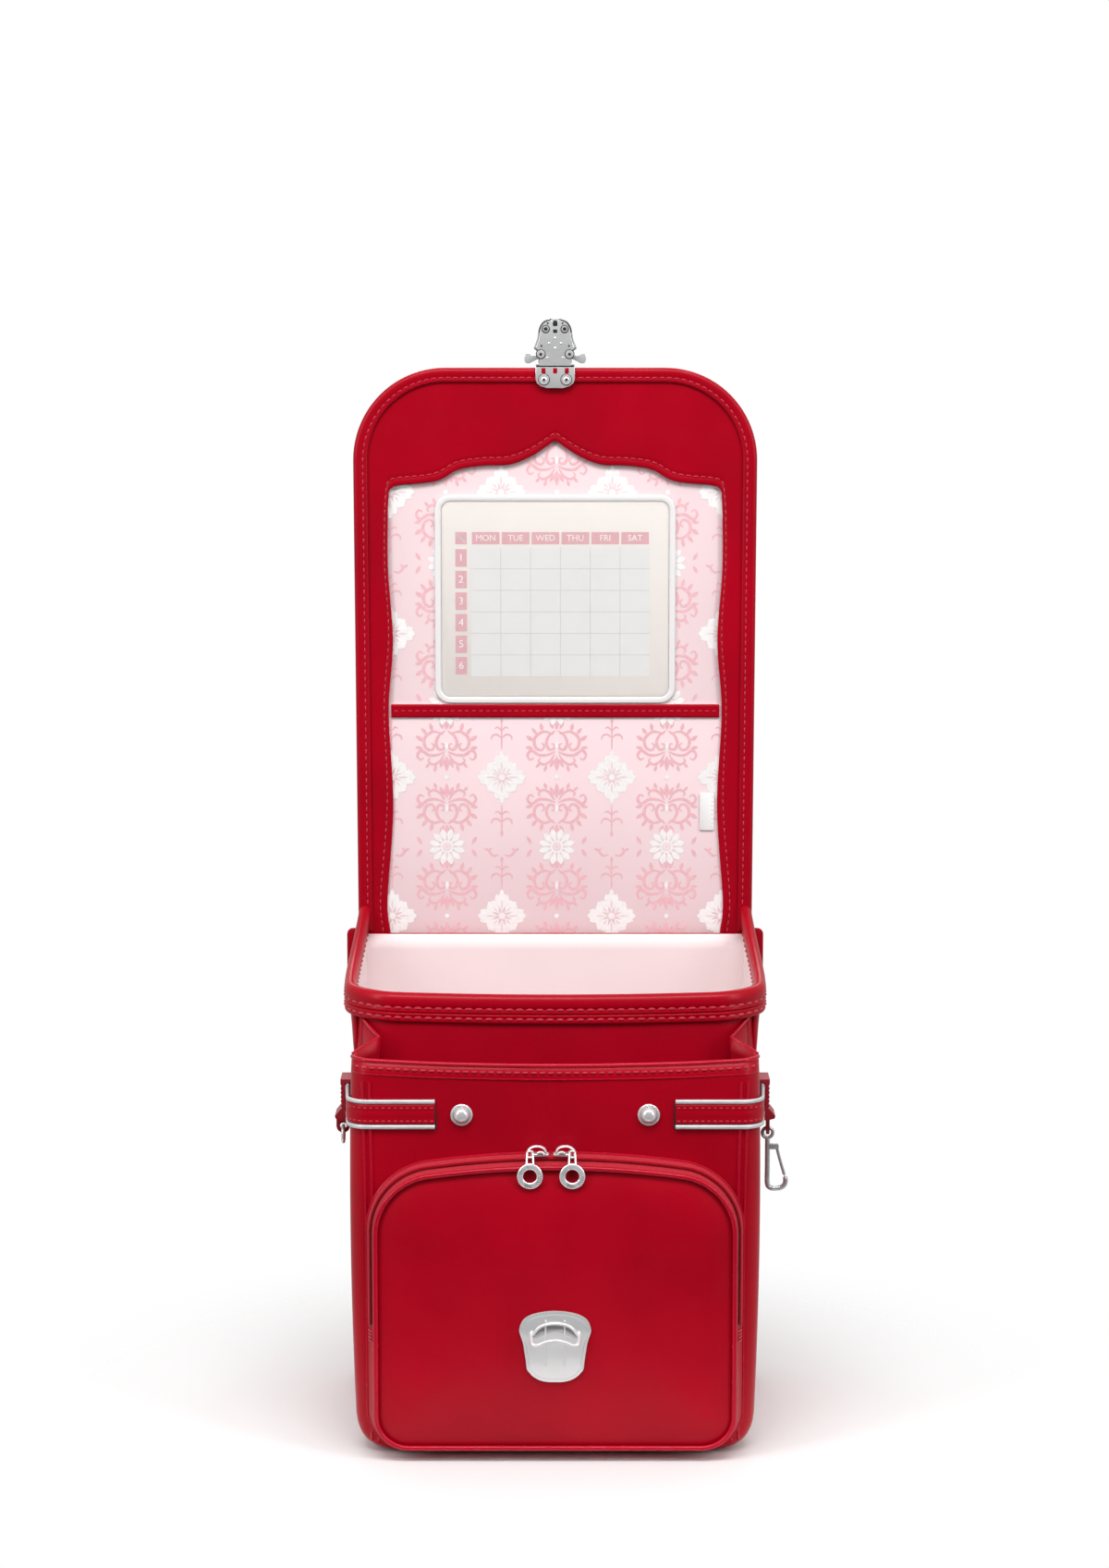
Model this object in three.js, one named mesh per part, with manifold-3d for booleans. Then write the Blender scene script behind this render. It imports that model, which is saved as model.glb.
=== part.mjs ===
// A school backpack with a half flap, standing on its base with the flap raised.
// Sizes are in millimetres. X runs to the right, Y to the back and Z up, from the middle of the base.
import * as THREE from "three";
import { mergeVertices } from "three/addons/utils/BufferGeometryUtils.js";
import Module from "manifold-3d";

const wasm = await Module();
wasm.setup();

// Walls and clearances
const clearance = 0.3;
const wall = 2.2;
const lining_wall = 1;
const binding_wall = 1.6;
const gusset_wall = 1.5;
const board_wall = 3.2;
const frame_wall = 1.4;
const crown_wall = 3;

// Main compartment
const rim_width = 246;
const base_taper = 2.5;
const base_corner = 27;
const main_corner = 14;
const main_foot = 3;
const rim_height = 276;
const horn_rise = 31;
const horn_power = 2.2;
const main_depth = 117;
const board_front = 77.3;
const board_rise = 15;
const rim_band = 16;
const rim_inner_band = 7;

// Flap and what is sewn on it, with its reaches above the board's top
const flap_flare = 1.5;
const flap_overhang = 0.5;
const flap_corner = 56;
const flap_reach = 357;
const flap_binding_width = 6.8;
const lining_margin = 3;
const crown_overhang = 10.5;
const crown_height = 41.5;
const frame_band = 16.5;
const shoulder_reach = 282;
const crest_rise = 31.4;
const trim_reach = 142.6;
const trim_band = 8.5;
const card_pocket_width = 152;
const card_pocket_seat = 0.55;
const card_pocket_headroom = 2.6;
const card_pocket_corner = 10;
const card_pocket_rim = 4;
const vinyl_wall = 0.8;
const card_wall = 0.7;
const tag_width = 9;
const tag_height = 24;
const tag_right = 101;
const tag_reach = 90;

// Lock on the flap's tip
const lock_base_width = 24.6;
const lock_base_height = 12.5;
const lock_body_width = 21.4;
const lock_shoulder_width = 26.8;
const lock_rise = 31;
const lock_shoulder_rise = 13;
const lock_plate_wall = 1.4;
const lock_body_depth = 7.8;
const lever_pivot = 9.2;
const lever_reach = 18.4;
const lever_wall = 2.4;
const lever_width = 4;
const lever_rise = 9;
const lever_swing_room = 3.4;
const lever_pin_radius = 0.8;
const lock_shoulder_height = 4;
const lock_shoulder_slope = 3.5;
const lock_bridge_wall = 2.5;
const lock_hole_spacing = 7.3;
const lock_hole_width = 2.3;
const lock_hole_height = 3;
const boss_spacing = 11.6;
const boss_radius = 1.9;
const boss_rise = 1;
const boss_drop = 6.5;
const rivet_spacing = 14;
const rivet_radius = 2.4;

// Second compartment
const second_step = 1.5;
const second_depth = 35.5;
const second_corner = 12;
const second_foot = 8;
const second_height = 244.5;
const bellows_fold = 16;
const bellows_return = 9;
const stud_spacing = 112;
const stud_radius = 6.65;
const stud_height = 5;
const stud_level = 210;

// Zip pocket
const pocket_margin = 8.5;
const pocket_top = 186.7;
const pocket_bottom = 3;
const pocket_top_corner = 42;
const pocket_bottom_corner = 25;
const pocket_arch = 5;
const pocket_depth = 14;
const pocket_slope = 6;
const pocket_bulge = 6.5;
const zip_end_height = 80;
const piping_radius = 1.5;
const teeth_width = 3.2;
const teeth_rise = 1.2;
const zip_meet = -2.4;
const slider_width = 11;
const slider_wall = 3;
const slider_gap = 1.4;
const yoke_wall = 1.6;
const crown_bar_radius = 0.8;
const crown_inward = 9;
const crown_outward = 2.4;
const crown_arm = 1.2;
const pull_spacing = 12.6;
const pull_eye_radius = 2.2;
const pull_wall = 1.8;
const pull_ring_radius = 7.6;
const pull_hole_radius = 4.1;
const pull_drop = 11.8;

// Striker plate of the lock
const striker_width = 43;
const striker_height = 44;
const striker_top = 95.3;
const striker_wall = 1.6;
const bail_radius = 1.2;
const bail_half_width = 14.5;
const bail_reach = 10;
const ridge_spacing = 12;
const ridge_width = 1.6;
const ridge_rise = 0.7;

// Side bands and holders
const band_start = 72;
const band_height = 18;
const band_level = 210.5;
const band_wall = 1.6;
const band_piping = 2.6;
const holder_depth = 20;
const holder_y = -30;
const holder_wall = 2.8;
const holder_top = 222;
const holder_plate = 2;
const holder_plate_bottom = 148;
const rib_count = 6;
const holder_wedge = 3;
const lug_wall = 2;
const lug_drop = 17;
const lug_radius = 4.2;
const lug_hole_radius = 2;
const hook_wire = 2.6;
const hook_length = 33;
const hook_eye_radius = 3.2;
const hook_nose_reach = 12.5;
const hook_bend_radius = 6;
const hook_gate_reach = 5.6;
const gate_wall = 1.2;
const gate_width = 1.6;
const gate_pin_radius = 0.5;
const side_ring_radius = 5;
const side_ring_wire = 1.1;

// Back and straps, hidden in the usual front view
const pad_margin = 25;
const pad_wall = 11;
const pad_edge = 5;
const pad_bottom = 12;
const bracket_width = 92;
const bracket_height = 34;
const bracket_wall = 5;
const handle_span = 76;
const handle_width = 14;
const handle_wall = 4.5;
const handle_rise = 34;
const strap_width = 44;
const strap_wall = 8;
const strap_spacing = 92;
const strap_spread = 30;
const strap_reach = 150;
const strap_end = 84;
const lower_strap_width = 22;
const lower_strap_wall = 3;
const buckle_wire = 1.6;
const tab_overhang = 7;
const tab_width = 28;
const tab_height = 58;
const tab_bottom = 5;
const tab_wall = 3;

// Widths and heights that follow
const base_width = rim_width - 2 * base_taper;
const second_width = rim_width - 2 * second_step;
const pocket_width = second_width - 2 * pocket_margin;
const flap_root_width = rim_width + 2 * flap_overhang;
const flap_top_width = flap_root_width + 2 * flap_flare;
const crown_width = rim_width + 2 * crown_overhang;
const cutout_width = flap_root_width - 2 * frame_band;
const pad_width = rim_width - 2 * pad_margin;
const tab_reach = rim_width / 2 + tab_overhang;
const horn_height = rim_height + horn_rise;
const board_height = rim_height + board_rise;
const flap_height = board_height + flap_reach;
const cutout_shoulder = board_height + shoulder_reach;
const trim_height = board_height + trim_reach;
const card_pocket_bottom = trim_height + trim_band / 2 + card_pocket_seat;
const card_pocket_top = cutout_shoulder - card_pocket_headroom;
const tag_top = board_height + tag_reach;

// Depths that follow from the walls, from front to back
const main_back = board_front - clearance;
const lining_inset = wall + clearance;
const main_front = main_back - main_depth - 2 * lining_wall - lining_inset;
const second_back = main_front - clearance;
const second_front_y = second_back - second_depth - wall;
const pocket_back = second_front_y - clearance;
const pocket_front = pocket_back - pocket_depth;
const face_front = pocket_front - pocket_bulge;
const frame_front = board_front + board_wall + clearance;
const sheet_front = frame_front + frame_wall + clearance;
const flap_lining_front = sheet_front + lining_wall + clearance;
const flap_front = flap_lining_front + lining_wall + clearance;
const crown_front = flap_front + wall + clearance;
const crown_back = crown_front + crown_wall;
const crown_top = board_height + 1.5;
const crown_bottom = crown_top - crown_height;
const flap_root = crown_bottom + 2;
const bellows_height = rim_height - rim_band - clearance;

// Tables: shares of the named sizes that they follow
const cutout_side = [
  { rise: 0, half: 0.983 },
  { rise: 0.074, half: 1 },
  { rise: 0.29, half: 0.962 },
  { rise: 0.504, half: 0.986 },
  { rise: 0.663, half: 0.958 },
  { rise: 0.823, half: 0.985 },
  { rise: 0.95, half: 0.984 },
];
const cutout_crest = [
  { half: 0.977, rise: 0 },
  { half: 0.93, rise: 0.1 },
  { half: 0.7, rise: 0.19 },
  { half: 0.567, rise: 0.42 },
  { half: 0.41, rise: 0.5 },
  { half: 0.268, rise: 0.52 },
  { half: 0.133, rise: 0.7 },
  { half: 0, rise: 1 },
];
const face_swell = [
  { inset: 2, bulge: 0 },
  { inset: 8, bulge: 0.35 },
  { inset: 20, bulge: 0.7 },
  { inset: 36, bulge: 0.92 },
  { inset: 52, bulge: 1 },
];
const striker_outline = [
  { half: 0.3, drop: 0.01 },
  { half: 0.72, drop: 0.07 },
  { half: 0.97, drop: 0.16 },
  { half: 1, drop: 0.3 },
  { half: 0.93, drop: 0.4 },
  { half: 0.86, drop: 0.62 },
  { half: 0.76, drop: 0.82 },
  { half: 0.5, drop: 0.95 },
  { half: 0.2, drop: 1 },
];
const strap_route = [
  { reach: 0, down: 0 },
  { reach: 0.08, down: 0 },
  { reach: 0.36, down: -0.04 },
  { reach: 0.72, down: 0.03 },
  { reach: 0.95, down: 0.25 },
  { reach: 1, down: 0.5 },
  { reach: 0.86, down: 0.78 },
  { reach: 0.62, down: 1 },
];

// Materials
const finish = (color, roughness, metalness = 0) =>
  new THREE.MeshStandardMaterial({ color, roughness, metalness });
const red_leather = finish(0xb3001e, 0.35);
const dark_red = finish(0x9c0018, 0.6);
const pale_lining = finish(0xf3d6da, 0.6);
const clear_vinyl = finish(0xf4efe6, 0.2);
const white_card = finish(0xfaf7f2, 0.7);
const silver = finish(0xd0d2d4, 0.2, 1);
const reflective = finish(0xc4c4c8, 0.5);

// Solids
function to_solid(geometry) {
  const bare = geometry.clone();
  bare.deleteAttribute("normal");
  bare.deleteAttribute("uv");
  const merged = mergeVertices(bare, 1e-4);
  const vertProperties = merged.attributes.position.array;
  const triVerts = new Uint32Array(merged.index.array);
  return new wasm.Manifold(new wasm.Mesh({ numProp: 3, vertProperties, triVerts }));
}

function to_geometry(solid) {
  const mesh = solid.getMesh();
  const geometry = new THREE.BufferGeometry();
  geometry.setAttribute("position", new THREE.BufferAttribute(mesh.vertProperties, 3));
  geometry.setIndex(new THREE.BufferAttribute(mesh.triVerts, 1));
  geometry.computeVertexNormals();
  return geometry;
}

// An outline pushed along one axis. It lies in XZ for y, in XY for z and in YZ for x.
function prism(outline, axis, from, to) {
  const shape = new THREE.Shape(outline.map(([u, v]) => new THREE.Vector2(u, v)));
  const geometry = new THREE.ExtrudeGeometry(shape, { depth: to - from, bevelEnabled: false });
  if (axis === "y") geometry.rotateX(Math.PI / 2).translate(0, to, 0);
  if (axis === "z") geometry.translate(0, 0, from);
  if (axis === "x") {
    const [x, y, z] = [new THREE.Vector3(1, 0, 0), new THREE.Vector3(0, 1, 0), new THREE.Vector3(0, 0, 1)];
    geometry.applyMatrix4(new THREE.Matrix4().makeBasis(y, z, x)).translate(from, 0, 0);
  }
  return to_solid(geometry);
}

function box(x0, x1, y0, y1, z0, z1) {
  const geometry = new THREE.BoxGeometry(x1 - x0, y1 - y0, z1 - z0);
  geometry.translate((x0 + x1) / 2, (y0 + y1) / 2, (z0 + z1) / 2);
  return to_solid(geometry);
}

// The triangles that close a ring of points, whichever way the ring lies.
function cap_faces(ring) {
  const normal = new THREE.Vector3();
  ring.forEach((p, i) => {
    const q = ring[(i + 1) % ring.length];
    normal.x += (p.y - q.y) * (p.z + q.z);
    normal.y += (p.z - q.z) * (p.x + q.x);
    normal.z += (p.x - q.x) * (p.y + q.y);
  });
  normal.normalize();
  const side = Math.abs(normal.x) > 0.9 ? new THREE.Vector3(0, 1, 0) : new THREE.Vector3(1, 0, 0);
  const u = side.clone().cross(normal).normalize();
  const v = normal.clone().cross(u);
  const flat = ring.map((p) => new THREE.Vector2(p.dot(u), p.dot(v)));
  return THREE.ShapeUtils.triangulateShape(flat, []);
}

// A skin over rings of equal point counts, capped at both ends or closed on itself.
function skin(rings, closed = false) {
  const count = rings[0].length;
  const faces = [];
  const spans = closed ? rings.length : rings.length - 1;
  for (let r = 0; r < spans; r += 1) {
    const next = ((r + 1) % rings.length) * count;
    for (let i = 0; i < count; i += 1) {
      const j = (i + 1) % count;
      faces.push([r * count + i, r * count + j, next + j]);
      faces.push([r * count + i, next + j, next + i]);
    }
  }
  if (!closed) {
    const last = (rings.length - 1) * count;
    cap_faces(rings[0]).forEach(([a, b, c]) => faces.push([c, b, a]));
    cap_faces(rings.at(-1)).forEach(([a, b, c]) => faces.push([last + a, last + b, last + c]));
  }
  const points = rings.flat();
  const volume = faces.reduce(
    (sum, [a, b, c]) => sum + points[a].dot(points[b].clone().cross(points[c])), 0);
  const ordered = volume < 0 ? faces.map(([a, b, c]) => [a, c, b]) : faces;
  const geometry = new THREE.BufferGeometry();
  const numbers = points.flatMap((p) => p.toArray());
  geometry.setAttribute("position", new THREE.Float32BufferAttribute(numbers, 3));
  geometry.setIndex(ordered.flat());
  return to_solid(geometry);
}

// A tube along a curve, with a round section.
function tube(points, radius, steps, closed = false) {
  const curve = new THREE.CatmullRomCurve3(points, closed);
  const section = new THREE.Shape(arc(0, 0, radius, 0, 315, 7).map(([u, v]) => new THREE.Vector2(u, v)));
  return to_solid(new THREE.ExtrudeGeometry(section, { steps, extrudePath: curve }));
}

function arc(cx, cy, radius, from, to, steps) {
  return Array.from({ length: steps + 1 }, (_, i) => {
    const angle = THREE.MathUtils.degToRad(from + ((to - from) * i) / steps);
    return [cx + radius * Math.cos(angle), cy + radius * Math.sin(angle)];
  });
}

function rounded_rectangle(x0, x1, z0, z1, radius, steps = 5) {
  return [
    ...arc(x0 + radius, z0 + radius, radius, 180, 270, steps),
    ...arc(x1 - radius, z0 + radius, radius, 270, 360, steps),
    ...arc(x1 - radius, z1 - radius, radius, 0, 90, steps),
    ...arc(x0 + radius, z1 - radius, radius, 90, 180, steps),
  ];
}

const mirror = (outline) => outline.map(([u, v]) => [-u, v]).reverse();
const both_sides = (right_half) => [...right_half, ...mirror(right_half)];
const on_side = (side, outline) => (side < 0 ? mirror(outline) : outline);
const at = (x, y, z) => new THREE.Vector3(x, y, z);
const lerp = THREE.MathUtils.lerp;

// Body outlines
const main_size = {
  top: rim_width / 2,
  base: base_width / 2,
  full: rim_height - rim_band,
  front: main_front,
  corner: main_corner,
  foot: main_foot,
};
const second_size = {
  top: second_width / 2,
  base: (base_width - rim_width + second_width) / 2,
  full: second_height - rim_band,
  front: second_front_y,
  corner: second_corner,
  foot: second_foot,
};

function body_outline(size, inset, top) {
  const radius = base_corner - inset;
  const centre = size.base - base_corner;
  return [
    ...arc(-centre, base_corner, radius, 180, 270, 8),
    ...arc(centre, base_corner, radius, 270, 360, 8),
    [size.top - inset, size.full],
    [size.top - inset, top],
    [-size.top + inset, top],
    [-size.top + inset, size.full],
  ];
}

function half_at(size, z) {
  return lerp(size.base, size.top, Math.min((z - base_corner) / (size.full - base_corner), 1));
}

function rim_level(y) {
  const share = Math.max((y - main_front) / (main_back - main_front), 0);
  return rim_height + (horn_height - rim_height) * share ** horn_power;
}

// A rounded box that is cut by its front, top and side outlines.
function body_block(size, inset, back, top) {
  const front = size.front + inset;
  const reach = size.top - inset;
  const corner = Math.max(size.corner - inset, 1);
  const foot = Math.max(size.foot - inset, 1);
  const plan = [
    ...arc(-reach + corner, front + corner, corner, 180, 270, 5),
    ...arc(reach - corner, front + corner, corner, 270, 360, 5),
    [reach, back],
    [-reach, back],
  ];
  const toe = arc(front + foot, inset + foot, foot, 180, 270, 4);
  const profile = [...toe, [back, inset], [back, top], [front, top]];
  return prism(body_outline(size, inset, top), "y", front, back)
    .intersect(prism(plan, "z", inset - 1, top + 1))
    .intersect(prism(profile, "x", -reach - 1, reach + 1));
}

function above_rim(offset) {
  const steps = 10;
  const curve = Array.from({ length: steps + 1 }, (_, i) => {
    const y = lerp(main_front, main_back, i / steps);
    return [y, rim_level(y) + offset];
  });
  const sky = horn_height * 2;
  const outline = [[main_front - 1, sky], [main_front - 1, rim_height + offset], ...curve,
    [main_back + 1, horn_height + offset], [main_back + 1, sky]];
  return prism(outline, "x", -rim_width, rim_width);
}

const high = horn_height + 20;
const split_y = main_front + main_corner;

function main_shell() {
  return body_block(main_size, 0, main_back, high)
    .subtract(body_block(main_size, wall, main_back + 1, high + 1))
    .subtract(above_rim(0));
}

function main_front_wall() {
  const keep = box(-rim_width, rim_width, main_front - 1, split_y - clearance / 2, -1, high + 1);
  return main_shell().intersect(keep);
}

function main_gusset() {
  const keep = box(-rim_width, rim_width, split_y + clearance / 2, main_back + 1, -1, high + 1);
  return main_shell().intersect(keep);
}

function main_lining() {
  const inner = lining_inset + lining_wall;
  const back_cut = box(-rim_width, rim_width, main_back - lining_wall - 1, board_front,
    board_height, high + 1);
  return body_block(main_size, lining_inset, main_back, high)
    .subtract(body_block(main_size, inner, main_back - lining_wall, high + 1))
    .subtract(above_rim(0))
    .subtract(back_cut);
}

function back_panel() {
  return prism(body_outline(main_size, 0, board_height), "y", board_front, board_front + board_wall);
}

// The binding folds over the rim, from the horn on one side round the front to the other horn.
function rim_path() {
  const side_steps = 8;
  const half = rim_width / 2;
  const right = Array.from({ length: side_steps }, (_, i) => {
    const y = lerp(main_back, split_y, i / side_steps);
    return { x: half, y, nx: 1, ny: 0 };
  });
  const corner = arc(0, 0, 1, 0, -90, 6).map(([nx, ny]) => ({
    x: half - main_corner + main_corner * nx,
    y: split_y + main_corner * ny,
    nx,
    ny,
  }));
  const path = [...right, ...corner];
  return [...path, ...path.map((p) => ({ ...p, x: -p.x, nx: -p.nx })).reverse()];
}

function rim_binding() {
  const outer = clearance + binding_wall;
  const stack = lining_inset + lining_wall;
  const inner = -stack - outer;
  const section = [
    [clearance, -rim_band],
    [outer, -rim_band],
    [outer, clearance],
    [outer - 1, outer],
    [inner + 1, outer],
    [inner, clearance],
    [inner, -rim_inner_band],
    [-stack - clearance, -rim_inner_band],
    [-stack - clearance, clearance],
    [clearance, clearance],
  ];
  return skin(rim_path().map((p) =>
    section.map(([u, w]) => at(p.x + u * p.nx, p.y + u * p.ny, rim_level(p.y) + w))));
}

// Flap
function flap_outline(inset, bottom) {
  const top_half = flap_top_width / 2 - inset;
  const root_half = flap_root_width / 2 - inset;
  const top = flap_height - inset;
  const radius = flap_corner - inset;
  const shoulder = flap_height - flap_corner;
  return both_sides([[root_half, bottom], ...arc(top_half - radius, shoulder, radius, 0, 90, 8)])
    .filter(([, z]) => z <= top + 1);
}

function smooth(points, steps) {
  const curve = new THREE.CatmullRomCurve3(points.map(([u, v]) => at(u, v, 0)), false, "centripetal");
  return curve.getPoints(steps).map((p) => [p.x, p.y]);
}

function cutout_outline(inset, bottom) {
  const half = cutout_width / 2;
  const rise = cutout_shoulder - board_height;
  const side = smooth(cutout_side.map((row) =>
    [row.half * half - inset, board_height + row.rise * rise]), 14);
  const top = smooth(cutout_crest.map((row) =>
    [row.half * half * (1 - inset / half), cutout_shoulder + row.rise * crest_rise - inset]), 16);
  const right = [[side[0][0], bottom], ...side, ...top];
  return [...right, ...mirror(right.slice(0, -1))];
}

function cutout_half_at(z) {
  const share = (z - board_height) / (cutout_shoulder - board_height);
  const next = cutout_side.findIndex((row) => row.rise >= share);
  const [low, up] = [cutout_side[next - 1], cutout_side[next]];
  return (cutout_width / 2) * lerp(low.half, up.half, (share - low.rise) / (up.rise - low.rise));
}

function flap_outer() {
  return prism(flap_outline(0, flap_root), "y", flap_front, flap_front + wall);
}

function flap_lining() {
  return prism(flap_outline(lining_margin, flap_root), "y", flap_lining_front,
    flap_lining_front + lining_wall);
}

function flap_frame() {
  return prism(flap_outline(0, flap_root), "y", frame_front, frame_front + frame_wall)
    .subtract(prism(cutout_outline(0, flap_root - 1), "y", frame_front - 1, frame_front + frame_wall + 1));
}

function flap_binding() {
  const bottom = crown_top + clearance;
  const inside_front = frame_front - clearance;
  const inside_back = crown_front;
  return prism(flap_outline(-clearance - binding_wall, bottom), "y", inside_front - binding_wall,
    inside_back + binding_wall)
    .subtract(prism(flap_outline(-clearance, bottom - 1), "y", inside_front, inside_back))
    .subtract(prism(flap_outline(flap_binding_width, bottom - 1), "y", 0, inside_back * 2));
}

function flap_pocket_sheet() {
  const half = flap_root_width / 2 - lining_margin;
  return box(-half, half, sheet_front, sheet_front + lining_wall, flap_root, trim_height + trim_band / 2);
}

function pocket_trim() {
  const half = cutout_half_at(trim_height) - 3 * clearance;
  return box(-half, half, frame_front, frame_front + frame_wall,
    trim_height - trim_band / 2, trim_height + trim_band / 2);
}

function card_outline(inset) {
  const half = card_pocket_width / 2 - inset;
  return rounded_rectangle(-half, half, card_pocket_bottom + inset, card_pocket_top - inset,
    Math.max(card_pocket_corner - inset, 1));
}

function timetable_pocket() {
  const back = flap_lining_front - clearance;
  const front = back - 2 * clearance - card_wall - vinyl_wall;
  return prism(card_outline(0), "y", front, back)
    .subtract(prism(card_outline(card_pocket_rim), "y", front + vinyl_wall, back + 1));
}

function timetable_card() {
  const back = flap_lining_front - clearance;
  return prism(card_outline(card_pocket_rim + clearance), "y", back - card_wall, back);
}

function label_tag() {
  const back = sheet_front - clearance;
  return box(tag_right - tag_width, tag_right, back - vinyl_wall, back, tag_top - tag_height, tag_top);
}

function crown_band() {
  const half = crown_width / 2;
  return prism(rounded_rectangle(-half, half, crown_bottom, crown_top, 4, 3), "y", crown_front, crown_back);
}

// Flap lock: a front plate, a back plate and the head that stands above the flap's edge.
const flap_edge = flap_height + clearance + binding_wall;
const lock_plate_back = frame_front - 2 * clearance - binding_wall;
const lock_plate_front = lock_plate_back - lock_plate_wall;
const lock_back_front = crown_front + binding_wall + clearance;
const lever_front = lock_plate_front + (lock_body_depth - lever_wall) / 2;

function lock_head_outline() {
  const base = flap_edge + clearance;
  const half = lock_body_width / 2;
  const reach = lock_shoulder_width / 2;
  const low = flap_edge + lock_shoulder_rise - lock_shoulder_height;
  const up = low + lock_shoulder_height;
  const dome = flap_edge + lock_rise - half;
  const right = [[half, base], [half, low - lock_shoulder_slope], [reach, low], [reach, up],
    [half, up + lock_shoulder_slope], ...arc(0, dome, half, 0, 75, 5)];
  return both_sides(right);
}

function flap_lock() {
  const base = flap_edge + clearance;
  const half = lock_base_width / 2;
  const low = flap_edge - lock_base_height;
  const front_plate = prism(rounded_rectangle(-half, half, low, base + 2, 3, 3), "y",
    lock_plate_front, lock_plate_back);
  const back_plate = box(-half, half, lock_back_front, lock_back_front + lock_plate_wall, low, base + 2);
  const bridge = box(-half, half, lock_plate_front, lock_back_front + lock_plate_wall, base,
    base + lock_bridge_wall);
  const head = prism(lock_head_outline(), "y", lock_plate_front, lock_plate_front + lock_body_depth);
  const level = flap_edge + lever_rise;
  let lock = head.add(front_plate).add(back_plate).add(bridge);
  for (const side of [-1, 1]) {
    const slot = [side * (lever_pivot - lever_width / 2 - 1), side * lock_shoulder_width];
    lock = lock.subtract(box(Math.min(...slot), Math.max(...slot), lever_front - clearance,
      lever_front + lever_wall + clearance, level - lever_swing_room, level + lever_swing_room + 1));
    const pin = prism(arc(side * lever_pivot, level, lever_pin_radius, 0, 315, 7), "y",
      lever_front - 1, lever_front + lever_wall + 1);
    const boss_z = flap_edge + lock_rise - boss_drop;
    const boss = prism(arc((side * boss_spacing) / 2, boss_z, boss_radius, 0, 330, 11), "y",
      lock_plate_front - boss_rise, lock_plate_front + 1);
    lock = lock.add(pin).add(boss);
  }
  for (const x of [-lock_hole_spacing, 0, lock_hole_spacing]) {
    const top = base + 1;
    lock = lock.subtract(box(x - lock_hole_width / 2, x + lock_hole_width / 2, lock_plate_front - 1,
      lock_plate_front + 1, top - lock_hole_height, top));
  }
  return lock;
}

function lock_lever(side) {
  const level = flap_edge + lever_rise;
  const half = lever_width / 2;
  const outline = [
    ...arc(lever_pivot, level, half, 90, 270, 6),
    [lever_reach - 2, level - half],
    [lever_reach, level - half - 0.8],
    [lever_reach, level + half - 0.6],
  ];
  const hole = arc(lever_pivot, level, lever_pin_radius + clearance, 0, 315, 7);
  return prism(on_side(side, outline), "y", lever_front, lever_front + lever_wall)
    .subtract(prism(on_side(side, hole), "y", lever_front - 1, lever_front + lever_wall + 1));
}

// A turned piece whose axis runs along Y and whose head faces forward.
function turned(profile, x, seat_y, z, sides) {
  const geometry = new THREE.LatheGeometry(profile.map(([r, h]) => new THREE.Vector2(r, h)), sides);
  geometry.rotateX(Math.PI).translate(x, seat_y, z);
  return to_solid(geometry);
}

function dome_profile(radius, height) {
  const crown = arc(0, 0, 1, 0, 90, 4).map(([r, h]) => [r * radius * 0.68, height * (0.4 + h * 0.6)]);
  return [[0, 0], [radius, 0], [radius, height * 0.25], [radius * 0.8, height * 0.4], ...crown.slice(0, -1),
    [0, height]];
}

function lock_rivet(side) {
  return turned(dome_profile(rivet_radius, 1.4), (side * rivet_spacing) / 2, lock_plate_front - clearance,
    flap_edge - lock_base_height / 2, 12);
}

// Second compartment
const second_split = second_front_y + second_corner + 1;

function second_front() {
  const keep = box(-rim_width, rim_width, second_front_y - 1, second_split - clearance / 2,
    -1, second_height);
  return body_block(second_size, 0, second_back, high)
    .subtract(body_block(second_size, wall, second_back + 1, high + 1))
    .intersect(keep);
}

// The gusset runs down one side, under the base and up the other, folding inward as it rises.
function second_gusset() {
  const centre = second_size.base - base_corner;
  const side_steps = 5;
  const right = Array.from({ length: side_steps }, (_, i) => {
    const z = lerp(second_height, base_corner, i / side_steps);
    return { x: half_at(second_size, z), z, nx: 1, nz: 0, share: 1 - i / side_steps };
  });
  const corner = arc(0, 0, 1, 0, -90, 6).map(([nx, nz]) => (
    { x: centre + base_corner * nx, z: base_corner * (1 + nz), nx, nz, share: 0 }));
  const path = [...right, ...corner];
  const whole = [...path, ...path.map((p) => ({ ...p, x: -p.x, nx: -p.nx })).reverse()];
  const front = second_split + clearance / 2;
  const back = second_back;
  return skin(whole.map((p) => {
    const fold = bellows_fold * p.share ** 0.7;
    const tuck = bellows_return * p.share ** 0.7;
    const section = [[front, 0], [lerp(front, back, 0.5), fold], [back, tuck],
      [back, tuck + gusset_wall], [lerp(front, back, 0.5), fold + gusset_wall], [front, gusset_wall]];
    return section.map(([y, depth]) => {
      const rise = p.share === 1 ? ((y - front) / (back - front)) * (bellows_height - second_height) : 0;
      return at(p.x - depth * p.nx, y, p.z - depth * p.nz + rise);
    });
  }));
}

function stud(side) {
  return turned(dome_profile(stud_radius, stud_height), (side * stud_spacing) / 2,
    second_front_y - clearance, stud_level, 16);
}

// Zip pocket: an arched outline in two runs, the zip's and the one below the zip's ends.
function pocket_arch_run(inset) {
  const half = pocket_width / 2 - inset;
  const top = pocket_top - inset - pocket_arch;
  const radius = Math.max(pocket_top_corner - inset, 4);
  const corner = arc(half - radius, top - radius, radius, 0, 80, 8);
  const [start_x, start_z] = corner.at(-1);
  const arch = [0.66, 0.33].map((share) =>
    [start_x * share, lerp(start_z, pocket_top - inset, 1 - share ** 2)]);
  const right = [[half, zip_end_height], [half, lerp(zip_end_height, top - radius, 0.5)], ...corner, ...arch];
  return [...right, [0, pocket_top - inset], ...mirror(right)];
}

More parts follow.
